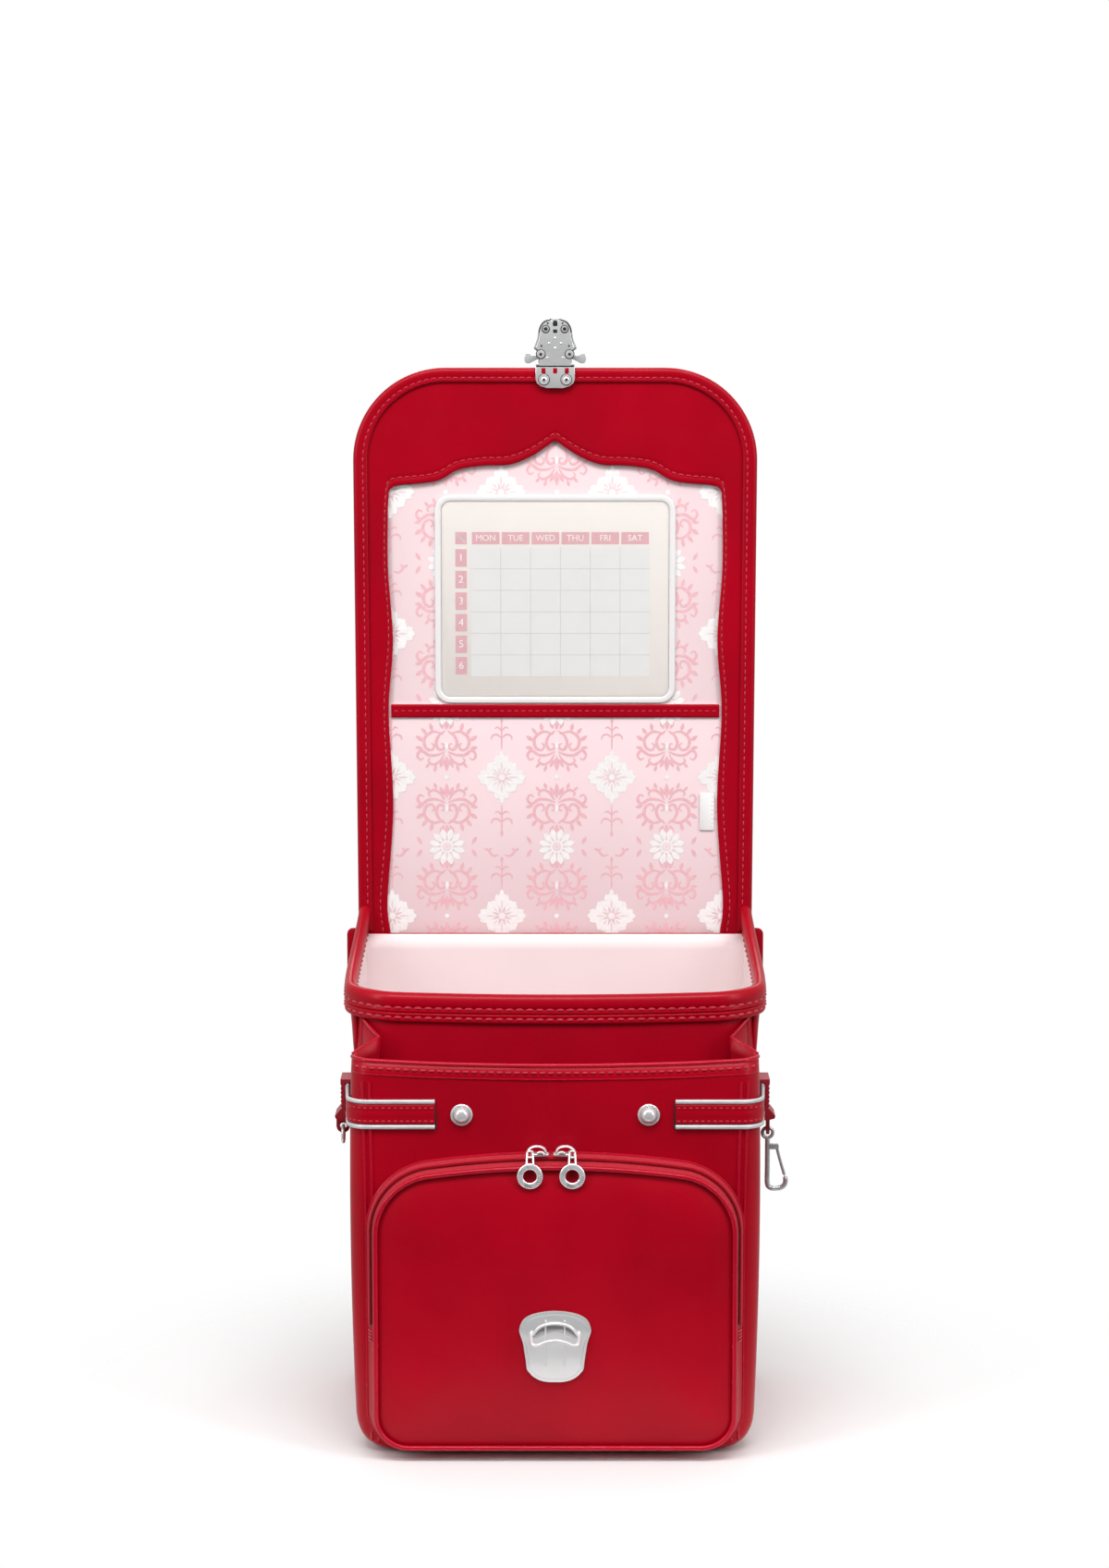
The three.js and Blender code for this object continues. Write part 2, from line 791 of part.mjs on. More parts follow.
function pocket_lower_run(inset) {
  const half = pocket_width / 2 - inset;
  const bottom = pocket_bottom + Math.min(inset, 60);
  const radius = Math.max(pocket_bottom_corner - inset, 4);
  const corner = arc(half - radius, bottom + radius, radius, 270, 360, 7);
  const right = [[0, bottom], ...corner, [half, zip_end_height]];
  return [...mirror(right), ...right.slice(1)];
}

function pocket_ring(inset, y) {
  const outline = [...pocket_arch_run(inset), ...pocket_lower_run(inset).slice(1, -1)];
  return outline.map(([x, z]) => at(x, y, z));
}

function pocket_band(run, trim) {
  const rows = [[0, pocket_back], [pocket_slope, pocket_front], [pocket_slope + gusset_wall, pocket_front],
    [gusset_wall, pocket_back]].map(([inset, y]) => run(inset).map(([x, z]) => at(x, y, z)));
  return skin(rows[0].map((_, i) => rows.map((row) => row[i]))).intersect(trim);
}

function zip_tape() {
  return pocket_band(pocket_arch_run, box(-rim_width, rim_width, face_front, main_front,
    zip_end_height + clearance / 2, high));
}

function pocket_gusset() {
  return pocket_band(pocket_lower_run, box(-rim_width, rim_width, face_front, main_front,
    -1, zip_end_height - clearance / 2));
}

const teeth_inset = pocket_slope / 2 - 3 * clearance;

function zipper_teeth() {
  const middle = lerp(pocket_back, pocket_front, 0.5);
  const [front, back] = [middle - teeth_width / 2, middle + teeth_width / 2];
  const crest = teeth_inset - teeth_rise;
  const rows = [[teeth_inset, front], [teeth_inset, back], [crest, back], [crest, front]]
    .map(([inset, y]) => pocket_arch_run(inset).map(([x, z]) => at(x, y, z)));
  return skin(rows[0].map((_, i) => rows.map((row) => row[i])))
    .intersect(box(-rim_width, rim_width, face_front, main_front, zip_end_height + 2, high));
}

const piping_y = pocket_front - clearance - piping_radius;

function pocket_piping() {
  const rows = arc(0, 0, piping_radius, 0, 315, 7).map(([u, w]) =>
    pocket_ring(pocket_slope - 0.5 + u, piping_y + w));
  return skin(rows[0].map((_, i) => rows.map((row) => row[i])), true);
}

function pocket_face() {
  const row = ({ inset, bulge }, y) => pocket_ring(pocket_slope + inset, y - bulge * pocket_bulge);
  const back = face_swell.map((entry) => row(entry, pocket_front + gusset_wall)).reverse();
  const front = face_swell.map((entry) => row(entry, pocket_front));
  return skin([...back, ...front]);
}

// Zip sliders stand on the tape at the middle of the arch, each with a crown bar for its pull.
const slider_back = lerp(pocket_back, pocket_front, 0.28);
const slider_front = lerp(pocket_back, pocket_front, 0.78);
const slider_bottom = pocket_top - teeth_inset + teeth_rise + clearance;
const slider_top = slider_bottom + slider_wall;
const pull_y = slider_front - pull_eye_radius - 0.5;
const pull_z = slider_top - 0.3;

function zip_slider(side) {
  const centre = zip_meet + side * (slider_width / 2 + slider_gap);
  const body = box(centre - slider_width / 2, centre + slider_width / 2, slider_front, slider_back,
    slider_bottom, slider_top);
  const eye = zip_meet + side * pull_spacing;
  const half = crown_arm / 2;
  const ends = [eye - side * crown_inward, eye + side * crown_outward];
  const [low, up] = [Math.min(...ends), Math.max(...ends)];
  const bar = prism(arc(pull_y, pull_z, crown_bar_radius, 0, 315, 7), "x", low - half, up + half);
  const yoke = box(low - half, up + half, slider_front, slider_front + yoke_wall,
    slider_top - yoke_wall, slider_top);
  const arm = (x) => box(x - half, x + half, pull_y - half, slider_front + 1, pull_z - half, pull_z + half);
  return body.add(yoke).add(bar).add(arm(low)).add(arm(up));
}

function zip_pull(side) {
  const x = zip_meet + side * pull_spacing;
  const half = pull_wall * 0.6;
  const ring_y = piping_y - piping_radius - pull_wall;
  const ring_z = pull_z - pull_drop;
  const eye = prism(arc(pull_y, pull_z, pull_eye_radius, 0, 330, 11), "x", x - half, x + half)
    .subtract(prism(arc(pull_y, pull_z, crown_bar_radius + clearance, 0, 315, 7), "x", x - 2, x + 2));
  const shank = prism([
    [pull_y - 1, pull_z - pull_eye_radius + 0.6],
    [pull_y - 1.4, pull_z - pull_eye_radius + 1.8],
    [ring_y - pull_wall / 2, ring_z + pull_ring_radius + 0.6],
    [ring_y - pull_wall / 2, ring_z + pull_ring_radius - 0.8],
    [ring_y + pull_wall / 2, ring_z + pull_ring_radius - 0.8],
    [ring_y + pull_wall / 2, ring_z + pull_ring_radius],
  ].reverse(), "x", x - half, x + half);
  const ring = prism(arc(x, ring_z, pull_ring_radius, 0, 345, 23), "y", ring_y - pull_wall / 2,
    ring_y + pull_wall / 2)
    .subtract(prism(arc(x, ring_z, pull_hole_radius, 0, 330, 11), "y", ring_y - 2, ring_y + 2));
  return eye.add(shank).add(ring);
}

function striker_plate() {
  const half = striker_width / 2;
  const seat = face_front - clearance;
  const front = seat - striker_wall;
  const right = striker_outline.map((row) => [row.half * half, striker_top - row.drop * striker_height]);
  const plate = prism(both_sides(right.reverse()), "y", front, seat);
  const root_z = striker_top - striker_height * 0.28;
  const tip_z = root_z - bail_reach * 0.45;
  const tip_y = front - bail_reach;
  const side_run = [at(bail_half_width, seat - 0.6, root_z), at(bail_half_width, front - 3, root_z - 0.8),
    at(bail_half_width * 0.96, lerp(front, tip_y, 0.7), lerp(root_z, tip_z, 0.7)),
    at(bail_half_width * 0.8, tip_y, tip_z)];
  const other = side_run.map((p) => at(-p.x, p.y, p.z)).reverse();
  const bail = tube([...side_run, at(0, tip_y - 0.6, tip_z), ...other], bail_radius, 28);
  const ridge = (x) => box(x - ridge_width / 2, x + ridge_width / 2, front - ridge_rise, front + 0.5,
    striker_top - striker_height * 0.82, striker_top - striker_height * 0.4);
  return plate.add(bail).add(ridge(-ridge_spacing / 2)).add(ridge(ridge_spacing / 2));
}

// Side bands leave the front panel, turn round the corner and pass through the holders.
function band_path(offset) {
  const front = second_front_y - 2 * clearance - offset;
  const half = half_at(second_size, band_level) + 2 * clearance;
  const radius = second_corner + 2 * clearance;
  const stand = half_at(main_size, band_level) + holder_plate + 2 * clearance + 0.4;
  const holder_front = holder_y - holder_depth / 2;
  return [
    { x: band_start, y: front, nx: 0, ny: -1 },
    ...arc(0, 0, 1, -90, -12, 5).map(([nx, ny]) => ({
      x: half - radius + (radius + offset) * nx,
      y: second_front_y + second_corner + (radius + offset) * ny,
      nx,
      ny,
    })),
    { x: lerp(half, stand, 0.45) + offset, y: lerp(second_split, holder_front, 0.45), nx: 1, ny: 0 },
    { x: stand + offset, y: holder_front - 2, nx: 1, ny: 0 },
    { x: stand + offset, y: holder_y + holder_depth / 2, nx: 1, ny: 0 },
  ];
}

function band_strip(side, bottom, top, thickness) {
  return skin(band_path(0).map((p) => [
    at(side * p.x, p.y, bottom),
    at(side * (p.x + thickness * p.nx), p.y + thickness * p.ny, bottom),
    at(side * (p.x + thickness * p.nx), p.y + thickness * p.ny, top),
    at(side * p.x, p.y, top),
  ]));
}

const band_body = band_height / 2 - band_piping - clearance;

function side_band(side) {
  return band_strip(side, band_level - band_body, band_level + band_body, band_wall);
}

function side_piping(side, up) {
  const inner = band_level + up * (band_body + clearance);
  const outer = band_level + (up * band_height) / 2;
  return band_strip(side, Math.min(inner, outer), Math.max(inner, outer), band_wall + 0.4);
}

// Moulded holders with a ribbed outer edge, a slot for the band and a lug below.
const holder_foot = half_at(main_size, holder_top) + clearance;
const slot_in = half_at(main_size, band_level) + holder_plate + clearance;
const slot_out = slot_in + band_wall + 0.4 + 3 * clearance + 0.4;
const holder_face = slot_out + holder_wall;

function holder_outline(side) {
  const low = side > 0 ? holder_plate_bottom : band_level - lug_drop;
  const rib_pitch = (band_height - 2) / rib_count;
  const rib_top = holder_top - 3;
  const ribs = Array.from({ length: rib_count }, (_, i) => [
    [holder_face, rib_top - i * rib_pitch],
    [holder_face - 0.9, rib_top - (i + 0.6) * rib_pitch],
  ]).flat();
  const bulge_top = rib_top - rib_count * rib_pitch;
  const block_bottom = band_level - lug_drop + 3;
  return [
    [holder_foot, holder_top],
    [holder_foot, low],
    [holder_foot + holder_plate, low],
    [holder_foot + holder_plate, block_bottom],
    [holder_face - 1, block_bottom],
    [holder_face + holder_wedge, block_bottom + 1],
    [holder_face + holder_wedge * 1.2, bulge_top - 4],
    [holder_face + holder_wedge * 0.13, bulge_top],
    ...ribs.reverse(),
    [holder_face, holder_top],
  ];
}

function side_holder(side) {
  const [front, back] = [holder_y - holder_depth / 2, holder_y + holder_depth / 2];
  const slot_half = band_height / 2 + 2 * clearance;
  const slot = [[slot_in, band_level - slot_half], [slot_out, band_level - slot_half],
    [slot_out, band_level + slot_half], [slot_in, band_level + slot_half]];
  const body = prism(on_side(side, holder_outline(side)), "y", front, back)
    .subtract(prism(on_side(side, slot), "y", front - 1, back + 1));
  return side > 0 ? body.add(right_lug()) : body.add(left_lug());
}

const hang_x = holder_face - 0.6;
const right_lug_bottom = band_level - lug_drop - 8;
const right_hole_z = right_lug_bottom + lug_radius;

function right_lug() {
  const [x0, x1] = [hang_x - lug_wall / 2, hang_x + lug_wall / 2];
  const root = band_level - lug_drop + 4;
  const outline = [...arc(holder_y, right_hole_z, lug_radius, 180, 360, 8),
    [holder_y + lug_radius, root], [holder_y - lug_radius, root]];
  return prism(outline, "x", x0, x1)
    .subtract(prism(arc(holder_y, right_hole_z, lug_hole_radius, 0, 330, 11), "x", x0 - 1, x1 + 1));
}

const ring_x = -(holder_face - 1);
const ring_hole_z = band_level - lug_drop - 2.6;

function left_lug() {
  const root = band_level - lug_drop + 4;
  const outline = [...arc(ring_x, ring_hole_z, lug_radius, 180, 360, 8),
    [ring_x + lug_radius, root], [ring_x - lug_radius, root]];
  return prism(outline, "y", holder_y - lug_wall / 2, holder_y + lug_wall / 2)
    .subtract(prism(arc(ring_x, ring_hole_z, lug_hole_radius, 0, 330, 11), "y", holder_y - 2, holder_y + 2));
}

function side_ring() {
  const geometry = new THREE.TorusGeometry(side_ring_radius, side_ring_wire, 8, 24);
  geometry.rotateY(Math.PI / 2).translate(ring_x, holder_y, ring_hole_z - side_ring_radius);
  return to_solid(geometry);
}

// Spring hook: an eye through the right lug, a spine, a nose and a sprung gate.
const eye_z = right_hole_z - hook_eye_radius;
const spine_bottom = eye_z - hook_eye_radius - hook_length;
const nose_x = hang_x + hook_nose_reach;
const nose_z = spine_bottom + 8.8;
const gate_x = hang_x + hook_gate_reach;
const gate_z = eye_z - hook_eye_radius - 5.5;

function side_hook() {
  const half = hook_wire / 2;
  const ring = to_solid(new THREE.TorusGeometry(hook_eye_radius, half * 0.8, 8, 20)
    .rotateX(Math.PI / 2).translate(hang_x, holder_y, eye_z));
  const spine = box(hang_x - half, hang_x + half, holder_y - half, holder_y + half,
    spine_bottom, eye_z - hook_eye_radius);
  const radius = hook_bend_radius;
  const bend = arc(nose_x - radius, spine_bottom + radius, radius, 270, 385, 7);
  const inner = arc(nose_x - radius, spine_bottom + radius, radius - hook_wire, 385, 270, 7);
  const nose = prism([[hang_x - half, spine_bottom], ...bend, ...inner,
    [hang_x - half, spine_bottom + hook_wire]], "y", holder_y - half, holder_y + half);
  const lug = box(hang_x, gate_x + 1.3, holder_y - half, holder_y + half, gate_z - 1.6, gate_z + 1.6)
    .subtract(box(gate_x - 2.2, gate_x + 3, holder_y - gate_wall / 2 - clearance,
      holder_y + gate_wall / 2 + clearance, gate_z - 3, gate_z + 3));
  const pin = prism(arc(gate_x, gate_z, gate_pin_radius, 0, 315, 7), "y", holder_y - half, holder_y + half);
  return ring.add(spine).add(nose).add(lug).add(pin);
}

function hook_gate() {
  const tip = new THREE.Vector2(nose_x - 1.6, nose_z);
  const root = new THREE.Vector2(gate_x, gate_z);
  const along = tip.clone().sub(root).normalize();
  const across = new THREE.Vector2(-along.y, along.x).multiplyScalar(gate_width / 2);
  const corner = (p, s) => [p.x + s * across.x, p.y + s * across.y];
  const bar = prism([corner(root, 1), corner(root, -1), corner(tip, -1), corner(tip, 1)].reverse(), "y",
    holder_y - gate_wall / 2, holder_y + gate_wall / 2);
  const knuckle = prism(arc(gate_x, gate_z, 1.7, 0, 330, 11), "y",
    holder_y - gate_wall / 2, holder_y + gate_wall / 2);
  const hole = prism(arc(gate_x, gate_z, gate_pin_radius + clearance, 0, 315, 7), "y",
    holder_y - gate_wall, holder_y + gate_wall);
  return bar.add(knuckle).subtract(hole);
}

// Back pad, strap bracket, handle and straps
const pad_front = board_front + board_wall + clearance;

function back_pad() {
  const half = pad_width / 2;
  const top = crown_bottom - clearance;
  const ring = (inset, y) => rounded_rectangle(-half + inset, half - inset, pad_bottom + inset, top - inset,
    Math.max(18 - inset, 2)).map(([x, z]) => at(x, y, z));
  const back = pad_front + pad_wall;
  return skin([ring(0, pad_front), ring(0, back - pad_edge), ring(pad_edge * 0.3, back - pad_edge * 0.3),
    ring(pad_edge, back)]);
}

const bracket_front = crown_back + clearance;
const bracket_back = bracket_front + bracket_wall;
const bracket_centre = (crown_top + crown_bottom) / 2;

function strap_bracket() {
  const half = bracket_width / 2;
  const [low, up] = [bracket_centre - bracket_height / 2, bracket_centre + bracket_height / 2];
  return prism(rounded_rectangle(-half, half, low, up, 6, 4), "y", bracket_front, bracket_back);
}

// A flat strip along a route in space; the route gives its middle line and its outward direction.
function strip(route, width, thickness) {
  return skin(route.map(({ middle, out, across }) => {
    const reach = across.clone().multiplyScalar(width / 2);
    const rise = out.clone().multiplyScalar(thickness / 2);
    return [middle.clone().add(reach).add(rise), middle.clone().sub(reach).add(rise),
      middle.clone().sub(reach).sub(rise), middle.clone().add(reach).sub(rise)];
  }));
}

function carry_handle() {
  const seat = bracket_back + clearance;
  const half = handle_span / 2;
  const ends = bracket_centre - 2;
  const curve = arc(0, ends, half, 0, 180, 12).map(([x, z]) => [x, ends + (z - ends) * (handle_rise / half)]);
  const route = curve.map(([x, z], i) => {
    const [ax, az] = curve[Math.max(i - 1, 0)];
    const [bx, bz] = curve[Math.min(i + 1, curve.length - 1)];
    const along = at(bx - ax, 0, bz - az).normalize();
    return { middle: at(x, seat + handle_width / 2, z), out: at(-along.z, 0, along.x), across: at(0, 1, 0) };
  });
  return strip(route, handle_width, handle_wall);
}

const strap_top_y = bracket_back + clearance;
const strap_top_z = bracket_centre - (bracket_height - strap_wall) / 2;

function strap_points(side) {
  const drop = strap_top_z - strap_end;
  return strap_route.map((row) => at(
    side * (strap_spacing / 2 + (strap_spread * Math.max(row.down, 0)) / 2),
    strap_top_y + row.reach * strap_reach,
    strap_top_z - row.down * drop,
  ));
}

function route_of(points, steps) {
  const curve = new THREE.CatmullRomCurve3(points, false, "centripetal");
  const across = at(1, 0, 0);
  return Array.from({ length: steps + 1 }, (_, i) => {
    const along = curve.getTangent(i / steps);
    const out = across.clone().cross(along).normalize();
    return { middle: curve.getPoint(i / steps), out, across };
  });
}

function shoulder_strap(side) {
  return strip(route_of(strap_points(side), 16), strap_width, strap_wall);
}

const tab_front = pad_front;
const tab_back = tab_front + tab_wall;
const tab_centre_z = tab_bottom + tab_height / 2;
const d_ring_x = tab_reach - tab_width / 2;

function lower_tab(side) {
  const outline = rounded_rectangle(tab_reach - tab_width, tab_reach, tab_bottom,
    tab_bottom + tab_height, 4, 3);
  return prism(on_side(side, outline), "y", tab_front, tab_back);
}

// Rings lie flat on a plane that faces back, and the lower straps run between them.
function flat_ring(side, x, z, half_width, half_height, y, wire) {
  const outline = (grow) => rounded_rectangle(x - half_width - grow, x + half_width + grow,
    z - half_height - grow, z + half_height + grow, 2 + grow, 3);
  return prism(on_side(side, outline(wire)), "y", y, y + wire)
    .subtract(prism(on_side(side, outline(0)), "y", y - 1, y + wire + 1));
}

const ring_half = lower_strap_width / 2 + 1;
const d_ring_y = tab_back + clearance;

function d_ring(side) {
  return flat_ring(side, d_ring_x, tab_centre_z, ring_half, 6, d_ring_y, buckle_wire);
}

function buckle_place(side) {
  const end = strap_points(side).at(-1);
  return at(Math.abs(end.x), end.y, end.z - clearance - 8);
}

function strap_buckle(side) {
  const { x, y, z } = buckle_place(side);
  return flat_ring(side, x, z, ring_half, 5, y - buckle_wire / 2, buckle_wire);
}

function lower_strap(side) {
  const top = buckle_place(side);
  const start_z = top.z - 5 - buckle_wire - clearance;
  const points = [
    at(side * top.x, top.y - 1, start_z),
    at(side * lerp(top.x, d_ring_x, 0.4), lerp(top.y, d_ring_y, 0.3), lerp(start_z, tab_centre_z, 0.4)),
    at(side * lerp(top.x, d_ring_x, 0.9), lerp(top.y, d_ring_y, 0.75), lerp(start_z, tab_centre_z, 0.9)),
    at(side * d_ring_x, d_ring_y + buckle_wire + 2 * lower_strap_wall, tab_centre_z),
    at(side * d_ring_x, d_ring_y, tab_centre_z),
  ];
  return strip(route_of(points, 8), lower_strap_width, lower_strap_wall);
}

// Assembly
const ransel = new THREE.Group();

function place(name, solid, material) {
  const mesh = new THREE.Mesh(to_geometry(solid), material);
  mesh.name = name;
  ransel.add(mesh);
}

function place_pair(name, make, material) {
  place(`${name}_left`, make(-1), material);
  place(`${name}_right`, make(1), material);
}

place("main_front_wall", main_front_wall(), red_leather);
place("main_gusset", main_gusset(), red_leather);
place("main_lining", main_lining(), pale_lining);
place("rim_binding", rim_binding(), red_leather);
place("back_panel", back_panel(), red_leather);
place("back_pad", back_pad(), pale_lining);
place("crown_band", crown_band(), red_leather);
place("flap_outer", flap_outer(), red_leather);
place("flap_lining", flap_lining(), pale_lining);
place("flap_frame", flap_frame(), red_leather);
place("flap_binding", flap_binding(), red_leather);
place("flap_pocket_sheet", flap_pocket_sheet(), pale_lining);
place("pocket_trim", pocket_trim(), red_leather);
place("timetable_pocket", timetable_pocket(), clear_vinyl);
place("timetable_card", timetable_card(), white_card);
place("label_tag", label_tag(), white_card);
place("flap_lock", flap_lock(), silver);
place_pair("lock_lever", lock_lever, silver);
place_pair("lock_rivet", lock_rivet, silver);
place("second_front", second_front(), red_leather);
place("second_gusset", second_gusset(), dark_red);
place_pair("stud", stud, silver);
place("zip_tape", zip_tape(), dark_red);
place("pocket_gusset", pocket_gusset(), red_leather);
place("zipper_teeth", zipper_teeth(), dark_red);
place("pocket_piping", pocket_piping(), red_leather);
place("pocket_face", pocket_face(), red_leather);
place_pair("zip_slider", zip_slider, silver);
place_pair("zip_pull", zip_pull, silver);
place("striker_plate", striker_plate(), silver);
place_pair("side_band", side_band, red_leather);
place_pair("upper_piping", (side) => side_piping(side, 1), reflective);
place_pair("lower_piping", (side) => side_piping(side, -1), reflective);
place_pair("side_holder", side_holder, dark_red);
place("side_ring", side_ring(), silver);
place("side_hook", side_hook(), silver);
place("hook_gate", hook_gate(), silver);
place("strap_bracket", strap_bracket(), dark_red);
place("carry_handle", carry_handle(), red_leather);
place_pair("shoulder_strap", shoulder_strap, red_leather);
place_pair("strap_buckle", strap_buckle, silver);
place_pair("lower_strap", lower_strap, red_leather);
place_pair("d_ring", d_ring, silver);
place_pair("lower_tab", lower_tab, red_leather);

export default ransel;
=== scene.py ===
# Looks of a school backpack with a raised half flap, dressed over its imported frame.
# Lengths are in millimetres until a mesh is made. X runs right, Y back and Z up.
import math

import bmesh
import bpy
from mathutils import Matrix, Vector


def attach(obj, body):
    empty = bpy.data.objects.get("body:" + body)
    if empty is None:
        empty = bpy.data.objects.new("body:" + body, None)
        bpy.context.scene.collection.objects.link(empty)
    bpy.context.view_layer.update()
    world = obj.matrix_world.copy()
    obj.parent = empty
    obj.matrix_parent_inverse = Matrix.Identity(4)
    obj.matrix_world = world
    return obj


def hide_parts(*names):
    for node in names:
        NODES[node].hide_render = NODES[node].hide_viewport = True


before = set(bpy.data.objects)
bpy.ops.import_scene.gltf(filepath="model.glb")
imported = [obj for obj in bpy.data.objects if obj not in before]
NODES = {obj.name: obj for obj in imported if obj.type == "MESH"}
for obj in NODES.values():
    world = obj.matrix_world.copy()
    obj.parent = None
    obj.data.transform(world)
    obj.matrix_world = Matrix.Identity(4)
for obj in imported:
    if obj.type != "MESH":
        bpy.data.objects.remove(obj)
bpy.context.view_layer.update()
MM = 0.001

# Sizes repeated from the part
CLEAR = 0.3
WALL = 2.2
RIM_HALF = 123.0
BASE_HALF = 120.5
BASE_CORNER = 27.0
RIM_HEIGHT = 276.0
HORN_HEIGHT = 307.0
HORN_POWER = 2.2
RIM_SAG = 2.6
RIM_CORNER = 27.0
SIDE_BOW = 4.6
HEM_SAG = 3.6
MAIN_FRONT = -44.5
MAIN_BACK = 77.0
BOARD_HEIGHT = 291.0
LINING_FLOOR = 2.6
BOARD_FRONT = 77.3
SECOND_FRONT = -82.5
SECOND_BACK = -44.8
SECOND_TOP = 244.5
BELLOWS_TOP = 259.7
FLAP_HEIGHT = 648.0
FLAP_ROOT = 253.0
FLAP_CORNER = 56.0
FLAP_TOP_HALF = 125.0
FLAP_ROOT_HALF = 123.5
FRAME_FRONT = 80.8
SHEET_FRONT = 82.5
LINING_FRONT = 83.8
FLAP_FRONT = 85.1
CROWN_FRONT = 87.6
CROWN_TOP = 292.5
CROWN_BOTTOM = 251.0
CROWN_HALF = 133.5
CUT_HALF = 107.0
CUT_SHOULDER = 573.0
CUT_PEAK = 604.4
TRIM_HEIGHT = 433.6
TRIM_BAND = 8.5
CARD_HALF = 76.0
CARD_TOP = 570.4
CARD_BOTTOM = 438.4
CARD_CORNER = 10.0
CARD_RIM = 4.0
FLAP_EDGE = 649.9
LOCK_FRONT = 77.2
POCKET_HALF = 113.0
POCKET_TOP = 186.7
POCKET_BOTTOM = 3.0
POCKET_TOP_CORNER = 42.0
POCKET_BOTTOM_CORNER = 25.0
POCKET_ARCH = 5.0
POCKET_BACK = -82.8
POCKET_FRONT = -96.8
POCKET_SLOPE = 6.0
POCKET_BULGE = 6.5
ZIP_END = 80.0
PIPING_Y = -98.6
PIPING_RADIUS = 1.5
FACE_FRONT = -103.3
ZIP_MEET = -2.4
BAND_START = 72.0
BAND_LEVEL = 210.5
BAND_BODY = 6.1
HOLDER_Y = -30.0
HOLDER_FACE = 130.87
STRIKER_TOP = 95.3
STRIKER_HEIGHT = 44.0
STRIKER_HALF = 21.5
STUD_X = 56.0
STUD_Z = 210.0
PULL_REACH = 12.6
BUCKLE_X = 61.0
D_RING_X = 116.0
BOSS = (5.9, 674.0)
KNUCKLE = (9.0, 658.4)
LOCK_RIVET = (7.0, 642.6)

MAIN = {"top": RIM_HALF, "base": BASE_HALF, "full": 260.0, "front": MAIN_FRONT, "corner": 14.0, "foot": 3.0,
        "swell": 0.0, "square": 2.2}
SECOND = {"top": 121.5, "base": 119.0, "full": 228.5, "front": SECOND_FRONT, "corner": 12.0, "foot": 8.0,
          "swell": 3.4, "square": 2.7}


# Camera, lights and floor
def make_camera():
    camera = bpy.data.objects.new("camera", bpy.data.cameras.new("camera"))
    bpy.context.scene.collection.objects.link(camera)
    camera.location = (0.0, -2.2281, 0.71135)
    target = Vector((-0.0004, 0.0, 0.3982))
    camera.rotation_euler = (target - camera.location).to_track_quat("-Z", "Y").to_euler()
    camera.data.lens = 84.2
    camera.data.sensor_width = 36.0
    camera.data.sensor_fit = "AUTO"
    camera.data.clip_end = 50.0
    bpy.context.scene.camera = camera


def make_light(name, place, aim, size, power):
    light = bpy.data.lights.new(name, "AREA")
    light.shape = "RECTANGLE"
    light.size, light.size_y = size
    light.energy = power
    lamp = bpy.data.objects.new(name, light)
    bpy.context.scene.collection.objects.link(lamp)
    lamp.location = place
    lamp.rotation_euler = (Vector(aim) - Vector(place)).to_track_quat("-Z", "Y").to_euler()


def make_world():
    world = bpy.data.worlds.new("studio")
    bpy.context.scene.world = world
    world.use_nodes = True
    nodes, links = world.node_tree.nodes, world.node_tree.links
    room = nodes["Background"]
    place = nodes.new("ShaderNodeTexCoord")
    dot = nodes.new("ShaderNodeVectorMath")
    dot.operation = "DOT_PRODUCT"
    dot.inputs[1].default_value = (0.0, -0.97, -0.24)
    ramp = nodes.new("ShaderNodeValToRGB")
    ramp.color_ramp.elements[0].position = 0.3
    ramp.color_ramp.elements[0].color = (0.62, 0.62, 0.62, 1.0)
    ramp.color_ramp.elements[1].position = 0.86
    ramp.color_ramp.elements[1].color = (0.10, 0.10, 0.10, 1.0)
    links.new(place.outputs["Generated"], dot.inputs[0])
    links.new(dot.outputs["Value"], ramp.inputs["Fac"])
    links.new(ramp.outputs["Color"], room.inputs["Color"])
    backdrop = nodes.new("ShaderNodeBackground")
    backdrop.inputs["Color"].default_value = (1.0, 1.0, 1.0, 1.0)
    path = nodes.new("ShaderNodeLightPath")
    mix = nodes.new("ShaderNodeMixShader")
    links.new(path.outputs["Is Camera Ray"], mix.inputs["Fac"])
    links.new(room.outputs["Background"], mix.inputs[1])
    links.new(backdrop.outputs["Background"], mix.inputs[2])
    links.new(mix.outputs["Shader"], nodes["World Output"].inputs["Surface"])


def make_studio():
    make_world()
    make_light("key_left", (-1.55, -1.35, 1.45), (0, 0, 0.45), (0.5, 1.9), 19)
    make_light("key_right", (1.6, -1.3, 1.4), (0, 0, 0.45), (0.5, 1.9), 18)
    make_light("fill_top", (0.0, -1.1, 2.0), (0, 0, 0.6), (1.6, 0.6), 29)
    make_light("back_rim", (0.0, 2.2, 1.8), (0, 0, 0.3), (1.6, 1.0), 14)
    bpy.context.scene.view_settings.view_transform = "Standard"


def make_floor(material):
    """A pale disc that fades into the white of the studio."""
    sides, radii = 96, (0.0, 0.2, 0.35, 0.5, 0.65, 0.8)
    mesh = bpy.data.meshes.new("floor")
    points = [(0.0, 0.0, 0.0)]
    for r in radii[1:]:
        points += [(r * math.cos(a), r * math.sin(a), 0.0) for a in turn(sides)]
    faces = [(0, 1 + k, 1 + (k + 1) % sides) for k in range(sides)]
    for ring in range(len(radii) - 2):
        low, high = 1 + ring * sides, 1 + (ring + 1) * sides
        faces += [(low + k, high + k, high + (k + 1) % sides, low + (k + 1) % sides) for k in range(sides)]
    mesh.from_pydata(points, [], faces)
    mesh.materials.append(material)
    floor = bpy.data.objects.new("floor", mesh)
    bpy.context.scene.collection.objects.link(floor)
    floor.location = (0, 0, -0.0004)


